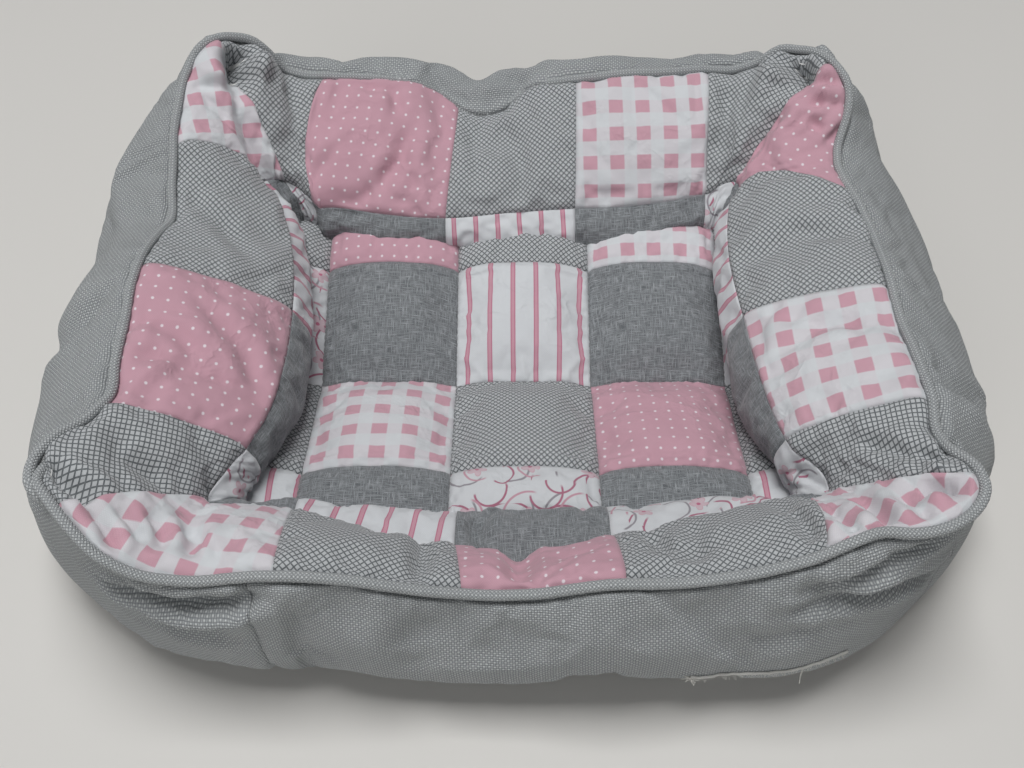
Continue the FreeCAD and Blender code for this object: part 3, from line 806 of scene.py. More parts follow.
# The upper row leans from its place on the row seam to its place on the rim.
lean = np.linspace(0, 1, UPPER_ROWS + 1)[:, None]
upper_s = low_s * (1 - lean) + rim_s * lean
upper_part = np.zeros((UPPER_ROWS + 1, COLUMNS, 3))
for j in range(UPPER_ROWS + 1):
    _, upper_points, _ = section_at(upper_s[j])
    upper_part[j] = in_space(upper_s[j], smooth_section(upper_points, UPPER_ROWS)[j:j + 1])[0]
grid = np.concatenate([in_space(low_s, lower_part)[:-1], upper_part[:-1], in_space(rim_s, canvas_part)])
print("grid of the ring:", grid.shape)

# %% [markdown]
# ## The quilted base
# The base is a pad of five columns and four rows of patches. Only the seams between columns and
# the seam in the middle are quilted, that is sewn through the pad, so they are deep valleys. The
# other two row seams only join cloth, and the stuffing runs on under them. The outer edge of the
# base runs on under the walls, where the lining of the walls is sewn to it.

# %% Base grid
PATCH = 82.0
BASE_SHIFT = 4.0  # the middle of the patches stands this far right of the middle of the bed
BASE_PITCH = 2.9
BASE_PUFF = 10.0  # height of a full channel over its seams
EDGE_HEIGHT = 26.0  # height of the hidden outer edge
QUILTED_ROW = -6.0
BASE_X = [-168.0] + [PATCH * k + BASE_SHIFT for k in (-1.5, -0.5, 0.5, 1.5)] + [168.0]
BASE_Y = [-145.0, QUILTED_ROW - PATCH + 3.0, QUILTED_ROW, QUILTED_ROW + PATCH - 9.0, 133.0]
CHANNEL_ENDS = [QUILTED_ROW - 112.0, QUILTED_ROW, QUILTED_ROW + 122.0]
TROUGH_Y = [-145, -120, -88, -48, -6, 35, 76, 105, 133]
TROUGH_Z = [54, 53, 49, 38, 30, 42, 58, 61, 61]  # height of the seams along TROUGH_Y
TROUGH_CALM = 9  # grid lines over which the trough is averaged
UNDER_OVERLAP = 2.0
PILLOW_FULLNESS, PILLOW_STEEPNESS = 2.6, 0.75
SEAM_DIP, SEAM_WIDTH = 2.2, 3.5  # the seams that only join cloth
PINCH_DEPTH, PINCH_WIDTH = 4.0, 11.0  # where two quilted seams cross
BASE_PRINTS = [
    ["stripe", "grey_linen", "floral", "grey_linen", "stripe"],
    ["crosshatch", "gingham", "crosshatch", "pink_dot", "crosshatch"],
    ["floral", "grey_linen", "stripe", "grey_linen", "floral"],
    ["crosshatch", "pink_dot", "crosshatch", "gingham", "crosshatch"],
]


def ruled(lines, pitch):
    """Places between the lines at about the given pitch, and the index of each line."""
    places, marks = [], [0]
    for one, two in zip(lines, lines[1:]):
        n = round((two - one) / pitch)
        places += list(one + (two - one) * np.arange(n) / n)
        marks.append(marks[-1] + n)
    return np.array(places + [lines[-1]]), marks


def pillow(share):
    """0 at both ends of a channel and 1 in its middle, steep beside the seams."""
    return (1 - np.abs(2 * share - 1)**PILLOW_FULLNESS)**PILLOW_STEEPNESS


def channel_share(values, ends):
    """How far each value is through its channel."""
    k = np.clip(np.searchsorted(ends, values, side="right") - 1, 0, len(ends) - 2)
    low, high = np.take(ends, k), np.take(ends, k + 1)
    return np.clip((values - low) / (high - low), 0, 1)


def bump(distance, width):
    """1 on a line, falling smoothly to 0 within about twice the width."""
    return np.exp(-(distance / width)**2)


xs, x_marks = ruled(BASE_X, BASE_PITCH)
ys, y_marks = ruled(BASE_Y, BASE_PITCH)
trough = np.pad(np.interp(ys, TROUGH_Y, TROUGH_Z), TROUGH_CALM // 2, mode="edge")
trough = np.convolve(trough, np.ones(TROUGH_CALM) / TROUGH_CALM, mode="valid")
grid_x, grid_y = np.meshgrid(xs, ys, indexing="ij")
column_ends = [BASE_X[1] - PATCH] + BASE_X[1:-1] + [BASE_X[-2] + PATCH]
puff = pillow(channel_share(grid_y, CHANNEL_ENDS)) * pillow(channel_share(grid_x, column_ends))
base_z = trough[None, :] + BASE_PUFF * puff
for seam_y in (BASE_Y[1], BASE_Y[3]):
    base_z -= SEAM_DIP * bump(grid_y - seam_y, SEAM_WIDTH)
for seam_x in BASE_X[1:-1]:
    base_z -= PINCH_DEPTH * bump(np.hypot(grid_x - seam_x, grid_y - QUILTED_ROW), PINCH_WIDTH)
base_grid = np.stack([grid_x, grid_y, base_z], -1)
for i, x in enumerate(xs):
    for j, y in enumerate(ys):
        if abs(x) > WELL_HALF or y > WELL_BACK or y < WELL_FRONT:
            s, r = ring_place(x, y)
            hidden = bulge.at(np.array([s]))[0][0] + UNDER_REACH - UNDER_OVERLAP
            if r > hidden:
                drop = min(1.0, (r - hidden) / max(SEAT_REACH - hidden, 1.0))
                base_grid[i, j, 2] += (EDGE_HEIGHT - base_grid[i, j, 2]) * drop
print("grid of the base:", base_grid.shape)

# %% [markdown]
# ## From a grid to a mesh
# The grids become meshes with one number per face that says which cloth the face belongs to.
# On the ring, an unwrap that keeps angles then lays every cloth flat, as it lay when it was cut,
# and each flat piece is turned and scaled until its UVs are metres on the cloth. The base is
# almost flat already, so its own rows and columns serve as its UVs.


# %% Mesh builders
def grid_faces(rows, columns, closed):
    """Quads of a grid with their outer side up; a closed grid joins its last column to the first."""
    i = np.arange(rows - 1)[:, None]
    j = np.arange(columns if closed else columns - 1)[None, :]
    k = (j + 1) % columns
    quads = np.stack([i * columns + j, (i + 1) * columns + j, (i + 1) * columns + k, i * columns + k], -1)
    return quads.reshape(-1, 4)


def mesh_object(name, points, faces):
    """A new object from points in millimetres."""
    mesh = bpy.data.meshes.new(name)
    mesh.from_pydata((np.asarray(points).reshape(-1, 3) * MM).tolist(), [], [list(face) for face in faces])
    made = bpy.data.objects.new(name, mesh)
    bpy.context.scene.collection.objects.link(made)
    return made


def face_corners(mesh):
    """Vertex index and face index of every face corner."""
    corners = np.zeros(len(mesh.loops), np.int64)
    mesh.loops.foreach_get("vertex_index", corners)
    totals = np.zeros(len(mesh.polygons), np.int64)
    mesh.polygons.foreach_get("loop_total", totals)
    return corners, np.repeat(np.arange(len(totals)), totals)


# A cloth's number is its patch in the lower row, then in the upper row, and then its canvas panel.
UPPER, PANELS = PATCHES, 2 * PATCHES
TURNED = {UPPER + k: 45.0 for k in (0, 3, 9, 12)}  # four corner patches, with their print's turn in degrees


def lay_flat(made, cloths, guide):
    """Unwraps every cloth and fits it, without stretching, to the guide UVs in millimetres."""
    mesh = made.data
    mesh.uv_layers.new(name="cloth")
    pairs = {}
    for index, polygon in enumerate(mesh.polygons):
        for key in polygon.edge_keys:
            pairs.setdefault(key, set()).add(cloths[index])
    for edge in mesh.edges:
        edge.use_seam = len(pairs[tuple(sorted(edge.vertices))]) > 1
    bpy.context.view_layer.objects.active = made
    made.select_set(True)
    bpy.ops.object.mode_set(mode="EDIT")
    bpy.ops.mesh.select_all(action="SELECT")
    bpy.ops.uv.unwrap(method="CONFORMAL", margin=0.0)
    bpy.ops.object.mode_set(mode="OBJECT")
    made.select_set(False)
    layer = mesh.uv_layers["cloth"].data
    flat = np.zeros(len(mesh.loops) * 2)
    layer.foreach_get("uv", flat)
    flat = flat.reshape(-1, 2)
    corners, owners = face_corners(mesh)
    wanted = guide.reshape(-1, 2)
    owner_cloth = np.asarray(cloths)[owners]
    for cloth in np.unique(owner_cloth):
        here = owner_cloth == cloth
        a = flat[here] @ [1, 1j]
        b = wanted[here] @ [1, 1j]
        a, b0 = a - a.mean(), b.mean()
        best = None
        for mirrored in (a, a.conj()):
            turn = np.vdot(mirrored, b - b0) / np.vdot(mirrored, mirrored)
            error = np.abs(mirrored * turn - (b - b0)).sum()
            if best is None or error < best[0]:
                best = (error, mirrored * turn + b0)
        cut = best[1] * np.exp(1j * math.radians(TURNED.get(int(cloth), 0.0)))
        flat[here] = np.stack([cut.real, cut.imag], 1) * MM
    layer.foreach_set("uv", flat.ravel())


def lengths(points, axis):
    """Distance along a grid's rows or columns, averaged over the other direction."""
    steps = steps_of(points, axis).mean(1 - axis)
    return np.concatenate([[0.0], np.cumsum(steps)])


# %% The ring and its cloths
ring_faces = grid_faces(FOOT_ROW + 1, COLUMNS, closed=True)
CANVAS_SEAM = ring_place(-124, -187)[0]  # where the canvas's front left seam meets the rim
front_seam = int(np.argmin(np.abs(np.mod(rim_s, RING_LENGTH) - CANVAS_SEAM)))
canvas_marks = [int(LINE_COLUMNS[MITRES[1]]), int(LINE_COLUMNS[MITRES[2]]), front_seam]
WALLS = ("right", "back", "left", "front")
face_row, face_column = np.divmod(np.arange(len(ring_faces)), COLUMNS)
patch = patch_of_column[face_column]
panel = np.searchsorted(canvas_marks, face_column, side="right")
lining_cloth = np.where(face_row < ROW_SEAM_ROW, patch, patch + UPPER)
ring_cloths = np.where(face_row < RIM_ROW, lining_cloth, panel + PANELS)


def ring_guide():
    """Rough UVs in millimetres: along the wall, and up the section."""
    closed = np.concatenate([grid, grid[:, :1]], 1)
    guide = np.zeros((len(ring_faces), 4, 2))
    for rows, marks in (((0, ROW_SEAM_ROW), LINE_COLUMNS), ((ROW_SEAM_ROW, RIM_ROW), LINE_COLUMNS),
                        ((RIM_ROW, FOOT_ROW), [0] + canvas_marks + [COLUMNS])):
        for first, last in zip(marks, marks[1:]):
            block = closed[rows[0]:rows[1] + 1, first:last + 1]
            u, v = lengths(block, 1), -lengths(block, 0)
            v -= v[-1]
            for i in range(rows[0], rows[1]):
                for j in range(first, last):
                    v0, v1 = v[i - rows[0]:i - rows[0] + 2]
                    u0, u1 = u[j - first:j - first + 2]
                    guide[i * COLUMNS + j] = [(u0, v0), (u0, v1), (u1, v1), (u1, v0)]
    return guide


ring = mesh_object("ring", grid, ring_faces)
lay_flat(ring, ring_cloths, ring_guide())
ring_uv = np.zeros(len(ring.data.loops) * 2)
ring.data.uv_layers["cloth"].data.foreach_get("uv", ring_uv)
ring_uv = ring_uv.reshape(-1, 4, 2)
print("cloths on the ring:", len(np.unique(ring_cloths)))

# %% The base and its cloths
base_faces = grid_faces(len(xs), len(ys), closed=False)
face_x, face_y = np.divmod(np.arange(len(base_faces)), len(ys) - 1)
patch_x = np.searchsorted(x_marks, face_x, side="right") - 1
patch_y = np.searchsorted(y_marks, face_y, side="right") - 1
base_cloths = patch_y * len(BASE_PRINTS[0]) + patch_x
base_u = base_grid[..., 0]
base_v = np.broadcast_to(lengths(base_grid, 1)[None, :], base_u.shape)
base = mesh_object("base", base_grid, base_faces)
base_uv = np.stack([base_u.ravel()[base_faces], base_v.ravel()[base_faces]], -1)
for cloth in np.unique(base_cloths):
    here = base_cloths == cloth
    base_uv[here] -= base_uv[here].reshape(-1, 2).min(0)
base_uv *= MM
print("cloths of the base:", len(np.unique(base_cloths)))

# %% [markdown]
# ## Stuffing
# The cloth is stuffed by simulation: a pressure pushes the cloth outwards, the sewn lines hold,
# and a little spare cloth makes the creases that run away from a seam. How far a point may move
# is capped, and the result replaces the points of the mesh.


# %% Stuff a mesh
def stuffed(made, held, pressure, spare, cap, frames=16):
    """Blows the cloth up between the held points, and returns its points in millimetres."""
    before = np.zeros(len(made.data.vertices) * 3)
    made.data.vertices.foreach_get("co", before)
    before = before.reshape(-1, 3) / MM
    sewn = made.vertex_groups.new(name="sewn")
    sewn.add(np.nonzero(held)[0].tolist(), 1.0, "REPLACE")
    cloth = made.modifiers.new("stuffing", "CLOTH")
    settings = cloth.settings
    settings.quality = 6
    settings.mass = 0.2
    settings.tension_stiffness = settings.compression_stiffness = 12.0
    settings.shear_stiffness = 4.0
    settings.bending_stiffness = 0.05
    settings.vertex_group_mass = sewn.name
    settings.use_pressure = True
    settings.uniform_pressure_force = pressure
    settings.shrink_min = settings.shrink_max = -spare
    settings.effector_weights.gravity = 0.0
    cloth.collision_settings.use_collision = False
    cloth.point_cache.frame_start, cloth.point_cache.frame_end = 1, frames
    for frame_number in range(1, frames + 1):
        bpy.context.scene.frame_set(frame_number)
    result = made.evaluated_get(bpy.context.evaluated_depsgraph_get()).data
    after = np.zeros(len(result.vertices) * 3)
    result.vertices.foreach_get("co", after)
    after = after.reshape(-1, 3) / MM
    made.modifiers.remove(cloth)
    bpy.context.scene.frame_set(1)
    move = after - before
    far = np.sqrt((move**2).sum(1, keepdims=True))
    move *= np.minimum(1.0, cap / np.maximum(far, 1e-6))
    print(f"{made.name}: moved by {far.mean():.1f} mm on average, {far.max():.1f} at most")
    made.data.vertices.foreach_set("co", ((before + move) * MM).ravel())
    made.data.update()
    return before + move


# %% Stuff the walls and the base
PRESSURE = 3.0
SPARE_CLOTH = 0.03
FARTHEST = 6.0
held = np.zeros((FOOT_ROW + 1, COLUMNS), bool)
held[[0, ROW_SEAM_ROW, RIM_ROW, FOOT_ROW], :] = True
held[:RIM_ROW, LINE_COLUMNS[:-1]] = True
ring_points_mm = stuffed(ring, held.ravel(), PRESSURE, SPARE_CLOTH, FARTHEST).reshape(grid.shape)
held = np.zeros(base_grid.shape[:2], bool)
held[x_marks, :] = True
held[:, y_marks] = True
base_points_mm = stuffed(base, held.ravel(), PRESSURE, SPARE_CLOTH, FARTHEST).reshape(base_grid.shape)

# %% [markdown]
# ## A finer skin
# The small folds of cloth need a finer grid than the simulation. Each line of the grid gets new
# points on a smooth curve, and the curve breaks at every seam, so a seam stays a sharp valley.

# %% Refine the grids
FINE = 2


def refined(points, marks, axis):
    """New points between neighbours, on smooth curves that break at the marks."""
    p = np.moveaxis(points, axis, 0)
    pieces = []
    for first, last in zip(marks, marks[1:]):
        run = with_ends(p[first:last + 1])
        a, b, c, d = run[:-3], run[1:-2], run[2:-1], run[3:]
        new = [between(a, b, c, d, t) for t in np.arange(FINE) / FINE]
        pieces.append(np.stack(new, 1).reshape(-1, *p.shape[1:]))
    return np.moveaxis(np.concatenate(pieces + [p[marks[-1]:marks[-1] + 1]]), 0, axis)


def split_faces(values, rows, columns):
    """Corner values (faces, 4, n) of a grid's faces, for the faces of the finer grid."""
    corner = values.reshape(rows, columns, 4, -1)
    fine = np.zeros((rows, FINE, columns, FINE, 4, corner.shape[-1]))
    for a in range(FINE):
        for b in range(FINE):
            for k, (da, db) in enumerate(((0, 0), (1, 0), (1, 1), (0, 1))):
                s, t = (a + da) / FINE, (b + db) / FINE
                fine[:, a, :, b, k] = (corner[:, :, 0] * (1 - s) * (1 - t) + corner[:, :, 1] * s * (1 - t)
                                       + corner[:, :, 2] * s * t + corner[:, :, 3] * (1 - s) * t)
    return fine.reshape(rows * FINE * columns * FINE, 4, -1)


def unit(vectors):
    """Vectors of length 1 in the same directions."""
    return vectors / np.maximum(np.sqrt((vectors**2).sum(-1, keepdims=True)), 1e-9)


def grid_normals(points, closed):
    """Unit normals of a grid, on its outer side."""
    if closed:
        wide = np.concatenate([points[:, -1:], points, points[:, :1]], 1)
        across = wide[:, 2:] - wide[:, :-2]
    else:
        across = np.gradient(points, axis=1)
    return unit(np.cross(np.gradient(points, axis=0), across))


def calm(normals, times, closed):
    """Normals averaged over their neighbours, so that a move along them doesn't cross itself."""
    for _ in range(times):
        around = np.pad(normals, ((1, 1), (0, 0), (0, 0)), mode="edge")
        normals = around[:-2] + 2 * normals + around[2:]
        around = np.pad(normals, ((0, 0), (1, 1), (0, 0)), mode="wrap" if closed else "edge")
        normals = unit(around[:, :-2] + 2 * normals + around[:, 2:])
    return normals


ring_row_marks = [0, ROW_SEAM_ROW, RIM_ROW, FOOT_ROW]
ring_column_marks = [int(mark) for mark in LINE_COLUMNS]
closed_grid = np.concatenate([ring_points_mm, ring_points_mm[:, :1]], 1)
ring_fine = refined(refined(closed_grid, ring_row_marks, 0), ring_column_marks, 1)[:, :-1]
base_fine = refined(refined(base_points_mm, x_marks, 0), y_marks, 1)
rim_index = RIM_ROW * FINE
seam_index = ROW_SEAM_ROW * FINE
print("fine grids:", ring_fine.shape[:2], "and", base_fine.shape[:2])

# %% [markdown]
# ## Puckers, lumps and folds
# Stuffed cloth is never smooth. The thread of a seam draws the cloth into short puckers beside
# it, the stuffing has lumps, and where a corner is folded there is too much cloth, which lies
# in long creases. All three move the points of the fine grid along its normals.


# %% Uneven waves
def uneven(t, wavelength, seed=0.0):
    """A wave between -1 and 1 whose bumps differ in height and length."""
    turn = 2 * math.pi * np.asarray(t) / wavelength
    return (np.sin(turn + seed) + 0.7 * np.sin(turn * 0.618 + 2.3 * seed + 1.0)
            + 0.5 * np.sin(turn * 1.731 + 3.7 * seed + 2.0)) / 2.2


def from_line(points, axis, index):
    """Distance in mm of every point of a grid from one of its lines, along the grid."""
    steps = steps_of(points, axis)
    along = np.concatenate([np.zeros_like(np.take(steps, [0], axis)), np.cumsum(steps, axis)], axis)
    return along - np.take(along, [index], axis)


# %% Puckers and lumps of the ring
PUCKER, PUCKER_REACH = 0.55, 9.0  # height of the puckers, and how far they run from a seam
GATHER, GATHER_REACH = 1.5, 26.0  # the same at the mitres of the corners
LUMP = 1.3  # height of the lumps of the stuffing
GROOVE, CANVAS_GROOVE = 3.2, 6.0  # depth of the rim's groove on the lining's and the canvas's side
GROOVE_WIDTH = 4.6
RIM_UP = (0.0, 0.0, 4.0)  # how much straight up counts in the direction of the groove
RIM_ROWS = 3  # the rim's direction is taken from the rows this far on both sides of it
CALM_STEPS = 8
COLUMN_ROW = 12  # the ring is measured round this many fine rows above the row seam
ROW_RIPPLE, RIM_RIPPLE = 7.5, 8.5  # wavelengths along the row seam and the rim
CROSS_RIPPLE, MITRE_RIPPLE = 6.5, 11.0  # wavelengths along the seams between patches
LUMP_ROUND, LUMP_UP = 61.0, 47.0  # wavelengths of the lumps, round the ring and up the wall
CLOSE = 2.0  # a pucker grows to its full height within this distance from the thread
BEFORE_SEAM = 0.6  # puckers before a cross seam, as a share of those after it
SEWN = 0.2  # what is left of all these moves on the sewn lines

ring_normals = calm(grid_normals(ring_fine, closed=True), CALM_STEPS, closed=True)
rows_mm = from_line(ring_fine, 0, rim_index)
seam_mm = from_line(ring_fine, 0, seam_index)
columns_mm = np.concatenate([[0.0], np.cumsum(steps_of(ring_fine[seam_index + COLUMN_ROW]))])
move = np.zeros(ring_fine.shape[:2])
lining_rows = np.arange(len(ring_fine)) <= rim_index
above, below = np.arange(len(ring_fine)) > seam_index, np.arange(len(ring_fine)) <= seam_index
near_seam = bump(seam_mm, PUCKER_REACH) * np.minimum(1.0, np.abs(seam_mm) / CLOSE)
for rows, seed in ((above & lining_rows, 0.4), (below, 2.1)):
    move += near_seam * rows[:, None] * PUCKER * uneven(columns_mm, ROW_RIPPLE, seed)[None, :]
near_rim = bump(rows_mm, PUCKER_REACH) * np.minimum(1.0, np.abs(rows_mm) / CLOSE)
for rows, seed in ((lining_rows, 1.3), (~lining_rows, 4.4)):
    move += near_rim * rows[:, None] * PUCKER * uneven(columns_mm, RIM_RIPPLE, seed)[None, :]
for number, column in enumerate(LINE_COLUMNS[:-1]):
    beside = np.abs(from_line(ring_fine, 1, int(column) * FINE))
    beside = np.minimum(beside, np.roll(beside[:, ::-1], 1, axis=1) if column == 0 else beside)
    mitre = number in MITRES
    reach, height = (GATHER_REACH, GATHER) if mitre else (PUCKER_REACH, PUCKER)
    ripples = uneven(rows_mm, MITRE_RIPPLE if mitre else CROSS_RIPPLE, number) * height
    side = np.where(np.arange(COLUMNS * FINE) >= column * FINE, 1.0, BEFORE_SEAM)
    move += lining_rows[:, None] * bump(beside, reach) * np.minimum(1.0, beside / CLOSE) * ripples * side
place_mm = np.broadcast_to(columns_mm, move.shape)
round_wave = uneven(place_mm + 0.7 * rows_mm, LUMP_ROUND, 0.3)
up_wave = uneven(rows_mm - 0.2 * place_mm, LUMP_UP, 1.9)
move += LUMP * round_wave * up_wave
move[[0, seam_index, rim_index, -1]] *= SEWN
ring_fine = ring_fine + ring_normals * move[..., None]

# The cloth is drawn down to the piping, so the rim stands in a narrow groove. The groove runs along
# the direction in which the rim stands out. That direction is mixed with straight up and averaged
# over three columns, which keeps it steady where the canvas stands higher than the rim.
rim_line_before = ring_fine[rim_index][::FINE]
rim_rise = ring_fine[rim_index] * 2 - ring_fine[rim_index - RIM_ROWS] - ring_fine[rim_index + RIM_ROWS]
rim_rise = rim_rise[::FINE] + RIM_UP
rim_rise = unit((np.roll(rim_rise, 1, axis=0) + rim_rise + np.roll(rim_rise, -1, axis=0)) / 3)
groove = np.where(lining_rows[:, None], GROOVE, CANVAS_GROOVE) * bump(rows_mm, GROOVE_WIDTH)
ring_fine -= np.repeat(rim_rise, FINE, axis=0)[None] * groove[..., None]
print(f"puckers and lumps: {np.abs(move).mean():.2f} mm on average, {np.abs(move).max():.2f} at most")


# %% Press creases
FADE_SHARE = 0.25  # a crease deepens by its full depth over this share of its length
CREASE_END = 0.25  # its depth at the very ends, as a share of the full depth
RIDGE = 0.35  # height of the ridges beside a crease, as a share of its depth
RIDGE_PLACE = 2.1  # their distance from the crease, in widths


def on_ring(place, level):
    """Point at a place: patch number plus share along it, and level 0 base, 1 row seam, 2 rim, 3 foot."""
    number = int(place) % PATCHES
    column = (LINE_COLUMNS[number] + (place - int(place)) * CELLS[number]) * FINE
    row = np.interp(level, [0, 1, 2, 3], [0, seam_index, rim_index, FOOT_ROW * FINE])
    j, i = int(column), min(int(row), FOOT_ROW * FINE - 1)
    a, b, count = row - i, column - j, COLUMNS * FINE
    return ((ring_fine[i, j % count] * (1 - b) + ring_fine[i, (j + 1) % count] * b) * (1 - a)
            + (ring_fine[i + 1, j % count] * (1 - b) + ring_fine[i + 1, (j + 1) % count] * b) * a)


def crease_move(points, line, depth, width):
    """How far a crease along a line moves each point: in on the line, and out beside it."""
    line = np.array(line)
    steps = steps_of(line)
    whole = steps.sum()
    nearest = np.full(points.shape[:2], 1e9)
    share = np.zeros(points.shape[:2])
    start = 0.0
    for one, two, step in zip(line, line[1:], steps):
        t = np.clip(((points - one) @ (two - one)) / step**2, 0.0, 1.0)
        distance = np.sqrt(((points - one - t[..., None] * (two - one))**2).sum(-1))
        closer = distance < nearest
        nearest = np.where(closer, distance, nearest)
        share = np.where(closer, (start + t * step) / whole, share)
        start += step
    fade = np.clip(np.minimum(share, 1.0 - share) / FADE_SHARE + CREASE_END, 0.0, 1.0)
    return depth * fade * (bump(nearest, width) - RIDGE * bump(nearest - RIDGE_PLACE * width, width))


CREASES = [  # (depth, width, [(place, level), ...])
    # The two back ears: a deep pocket behind the top fold, and the creases that run down from it.
    (22.0, 7.0, [(8.82, 1.93), (8.95, 1.82), (9.0, 1.68)]),
    (-4.0, 5.0, [(8.62, 1.96), (8.72, 1.75), (8.8, 1.55)]),
    (5.5, 4.5, [(9.1, 1.72), (9.3, 1.5), (9.7, 1.2), (10.1, 0.86), (10.45, 0.98)]),
    (3.0, 3.0, [(9.45, 1.93), (9.35, 1.8), (9.3, 1.7)]),
    (20.0, 7.0, [(4.28, 1.92), (4.12, 1.84), (4.02, 1.76)]),
    (-4.0, 5.0, [(4.5, 1.95), (4.4, 1.75), (4.3, 1.55)]),
    (4.0, 3.0, [(3.93, 1.82), (3.84, 1.95)]),
    (4.5, 3.5, [(3.82, 1.68), (3.72, 1.95)]),
    (3.5, 3.0, [(3.68, 1.66), (3.55, 1.81)]),
    (3.0, 3.0, [(3.48, 1.88), (3.64, 1.98)]),
    (4.0, 4.0, [(3.96, 1.6), (3.98, 1.3), (4.0, 1.05)]),
    # The front left corner, where the lining is crumpled.
    (9.0, 5.0, [(12.62, 1.95), (12.8, 1.87), (13.04, 1.78)]),
    (6.0, 4.0, [(13.07, 1.82), (13.18, 1.82), (13.28, 1.9)]),
    (6.0, 4.0, [(13.07, 1.67), (13.19, 1.69), (13.32, 1.8)]),
    (5.0, 4.0, [(13.12, 1.53), (13.28, 1.63), (13.4, 1.77)]),
    (4.0, 4.0, [(13.3, 1.45), (13.45, 1.6), (13.5, 1.8)]),
    (4.0, 6.0, [(12.3, 1.75), (12.6, 1.6), (12.9, 1.3)]),
    # The front right corner, where the lining is twisted like a rope.
    (13.0, 6.0, [(17.86, 1.64), (17.88, 1.73), (17.9, 1.83)]),
    (5.5, 4.5, [(0.55, 1.42), (0.35, 1.6), (0.15, 1.88)]),
    (5.0, 4.0, [(17.08, 1.52), (17.16, 1.8), (17.2, 1.98)]),
    (5.5, 4.0, [(17.54, 1.42), (17.45, 1.7), (17.38, 1.93)]),
    (5.5, 4.0, [(17.75, 1.57), (17.67, 1.75), (17.58, 1.9)]),
    (4.0, 5.0, [(16.79, 1.2), (16.9, 1.6), (17.0, 1.95)]),
    # The front wall.
    (3.5, 5.0, [(14.79, 0.8), (14.8, 1.6), (14.8, 1.9)]),
    (4.5, 6.0, [(15.41, 0.9), (15.37, 1.55), (15.35, 1.9)]),
    (4.5, 5.0, [(15.14, 0.55), (15.15, 0.85)]),
    (3.5, 5.0, [(16.17, 1.25), (16.22, 1.65)]),
    (3.5, 6.0, [(16.37, 1.3), (16.38, 1.88)]),
    # The left wall.
    (3.0, 4.0, [(11.39, 1.96), (11.44, 1.8), (11.48, 1.68), (11.61, 1.52)]),
    (3.5, 5.0, [(11.19, 1.65), (11.33, 1.49), (11.46, 1.3), (11.73, 1.11)]),
    (-2.5, 4.0, [(11.81, 1.85), (11.72, 1.74), (11.63, 1.66)]),
    (3.5, 6.0, [(10.3, 1.9), (10.5, 1.6), (10.8, 1.35)]),
    # The back wall.
    (3.0, 4.0, [(7.7, 1.92), (7.62, 1.87), (7.47, 1.89)]),
    (4.0, 5.0, [(7.29, 1.65), (7.32, 1.38), (7.49, 1.07)]),
    (3.0, 4.0, [(7.45, 1.88), (7.41, 1.71)]),
    (2.5, 4.0, [(7.26, 1.31), (7.2, 1.18)]),
    (3.5, 5.0, [(6.8, 1.96), (6.74, 1.73), (6.63, 1.46)]),
    (3.5, 5.0, [(6.9, 1.9), (6.83, 1.59), (6.77, 1.26)]),
    (3.5, 5.0, [(6.64, 1.84), (6.52, 1.51), (6.43, 1.32)]),
    (4.0, 6.0, [(4.7, 1.85), (4.75, 1.5), (4.85, 1.2)]),
    (4.0, 6.0, [(8.35, 1.85), (8.3, 1.5), (8.2, 1.2)]),
    # The right wall.
    (3.0, 5.0, [(1.9, 1.2), (1.75, 1.5), (1.7, 1.8)]),
    (3.0, 5.0, [(2.35, 1.25), (2.5, 1.5), (2.45, 1.85)]),
    # The canvas.
    (9.0, 5.0, [(13.1, 2.27), (13.3, 2.22), (13.5, 2.18), (13.7, 2.15), (13.92, 2.1)]),
    (3.5, 7.0, [(13.34, 2.42), (13.5, 2.37), (13.7, 2.34)]),
    (6.5, 4.5, [(16.9, 2.14), (17.1, 2.18), (17.32, 2.16), (17.48, 2.12), (17.7, 2.08)]),
    (7.0, 5.0, [(17.9, 2.42), (17.5, 2.31), (17.3, 2.29), (17.07, 2.25), (16.85, 2.22)]),
    (4.5, 3.0, [(0.55, 2.06), (0.3, 2.16), (0.12, 2.3)]),
    (3.0, 7.0, [(16.7, 2.36), (16.85, 2.36), (17.0, 2.35)]),
    (4.0, 9.0, [(11.2, 2.1), (11.3, 2.3), (11.25, 2.5)]),
    (4.0, 9.0, [(1.3, 2.12), (1.2, 2.3), (1.25, 2.5)]),
    (5.0, 8.0, [(6.9, 2.12), (6.8, 2.25), (6.75, 2.45)]),
    (4.0, 9.0, [(14.9, 2.15), (14.7, 2.3), (14.75, 2.5)]),
]
SEAM_GROOVE, SEAM_GROOVE_WIDTH = 1.6, 2.4  # the seams between the canvas panels
RIDGE_CLEAR, RIDGE_LEAST = 16.0, 0.1  # where a ridge has its full height, and its share at the rim
FILLING_GAP = 2.4
SKIN_CALM_STEPS = 2

calm_normals = calm(grid_normals(ring_fine, closed=True), CALM_STEPS, closed=True)
move = np.zeros(ring_fine.shape[:2])
for depth, width, places in CREASES:
    move -= crease_move(ring_fine, [on_ring(*place) for place in places], depth, width)
for mark in canvas_marks:
    beside = np.sqrt(((ring_fine - ring_fine[:, mark * FINE][:, None])**2).sum(-1))
    move -= ~lining_rows[:, None] * SEAM_GROOVE * bump(beside, SEAM_GROOVE_WIDTH)
# The piping holds the lining down, so a ridge of the lining fades towards the rim.
room = np.clip(np.abs(rows_mm) / RIDGE_CLEAR, RIDGE_LEAST, 1.0)
move = np.where(lining_rows[:, None] & (move > 0.0), move * room, move)
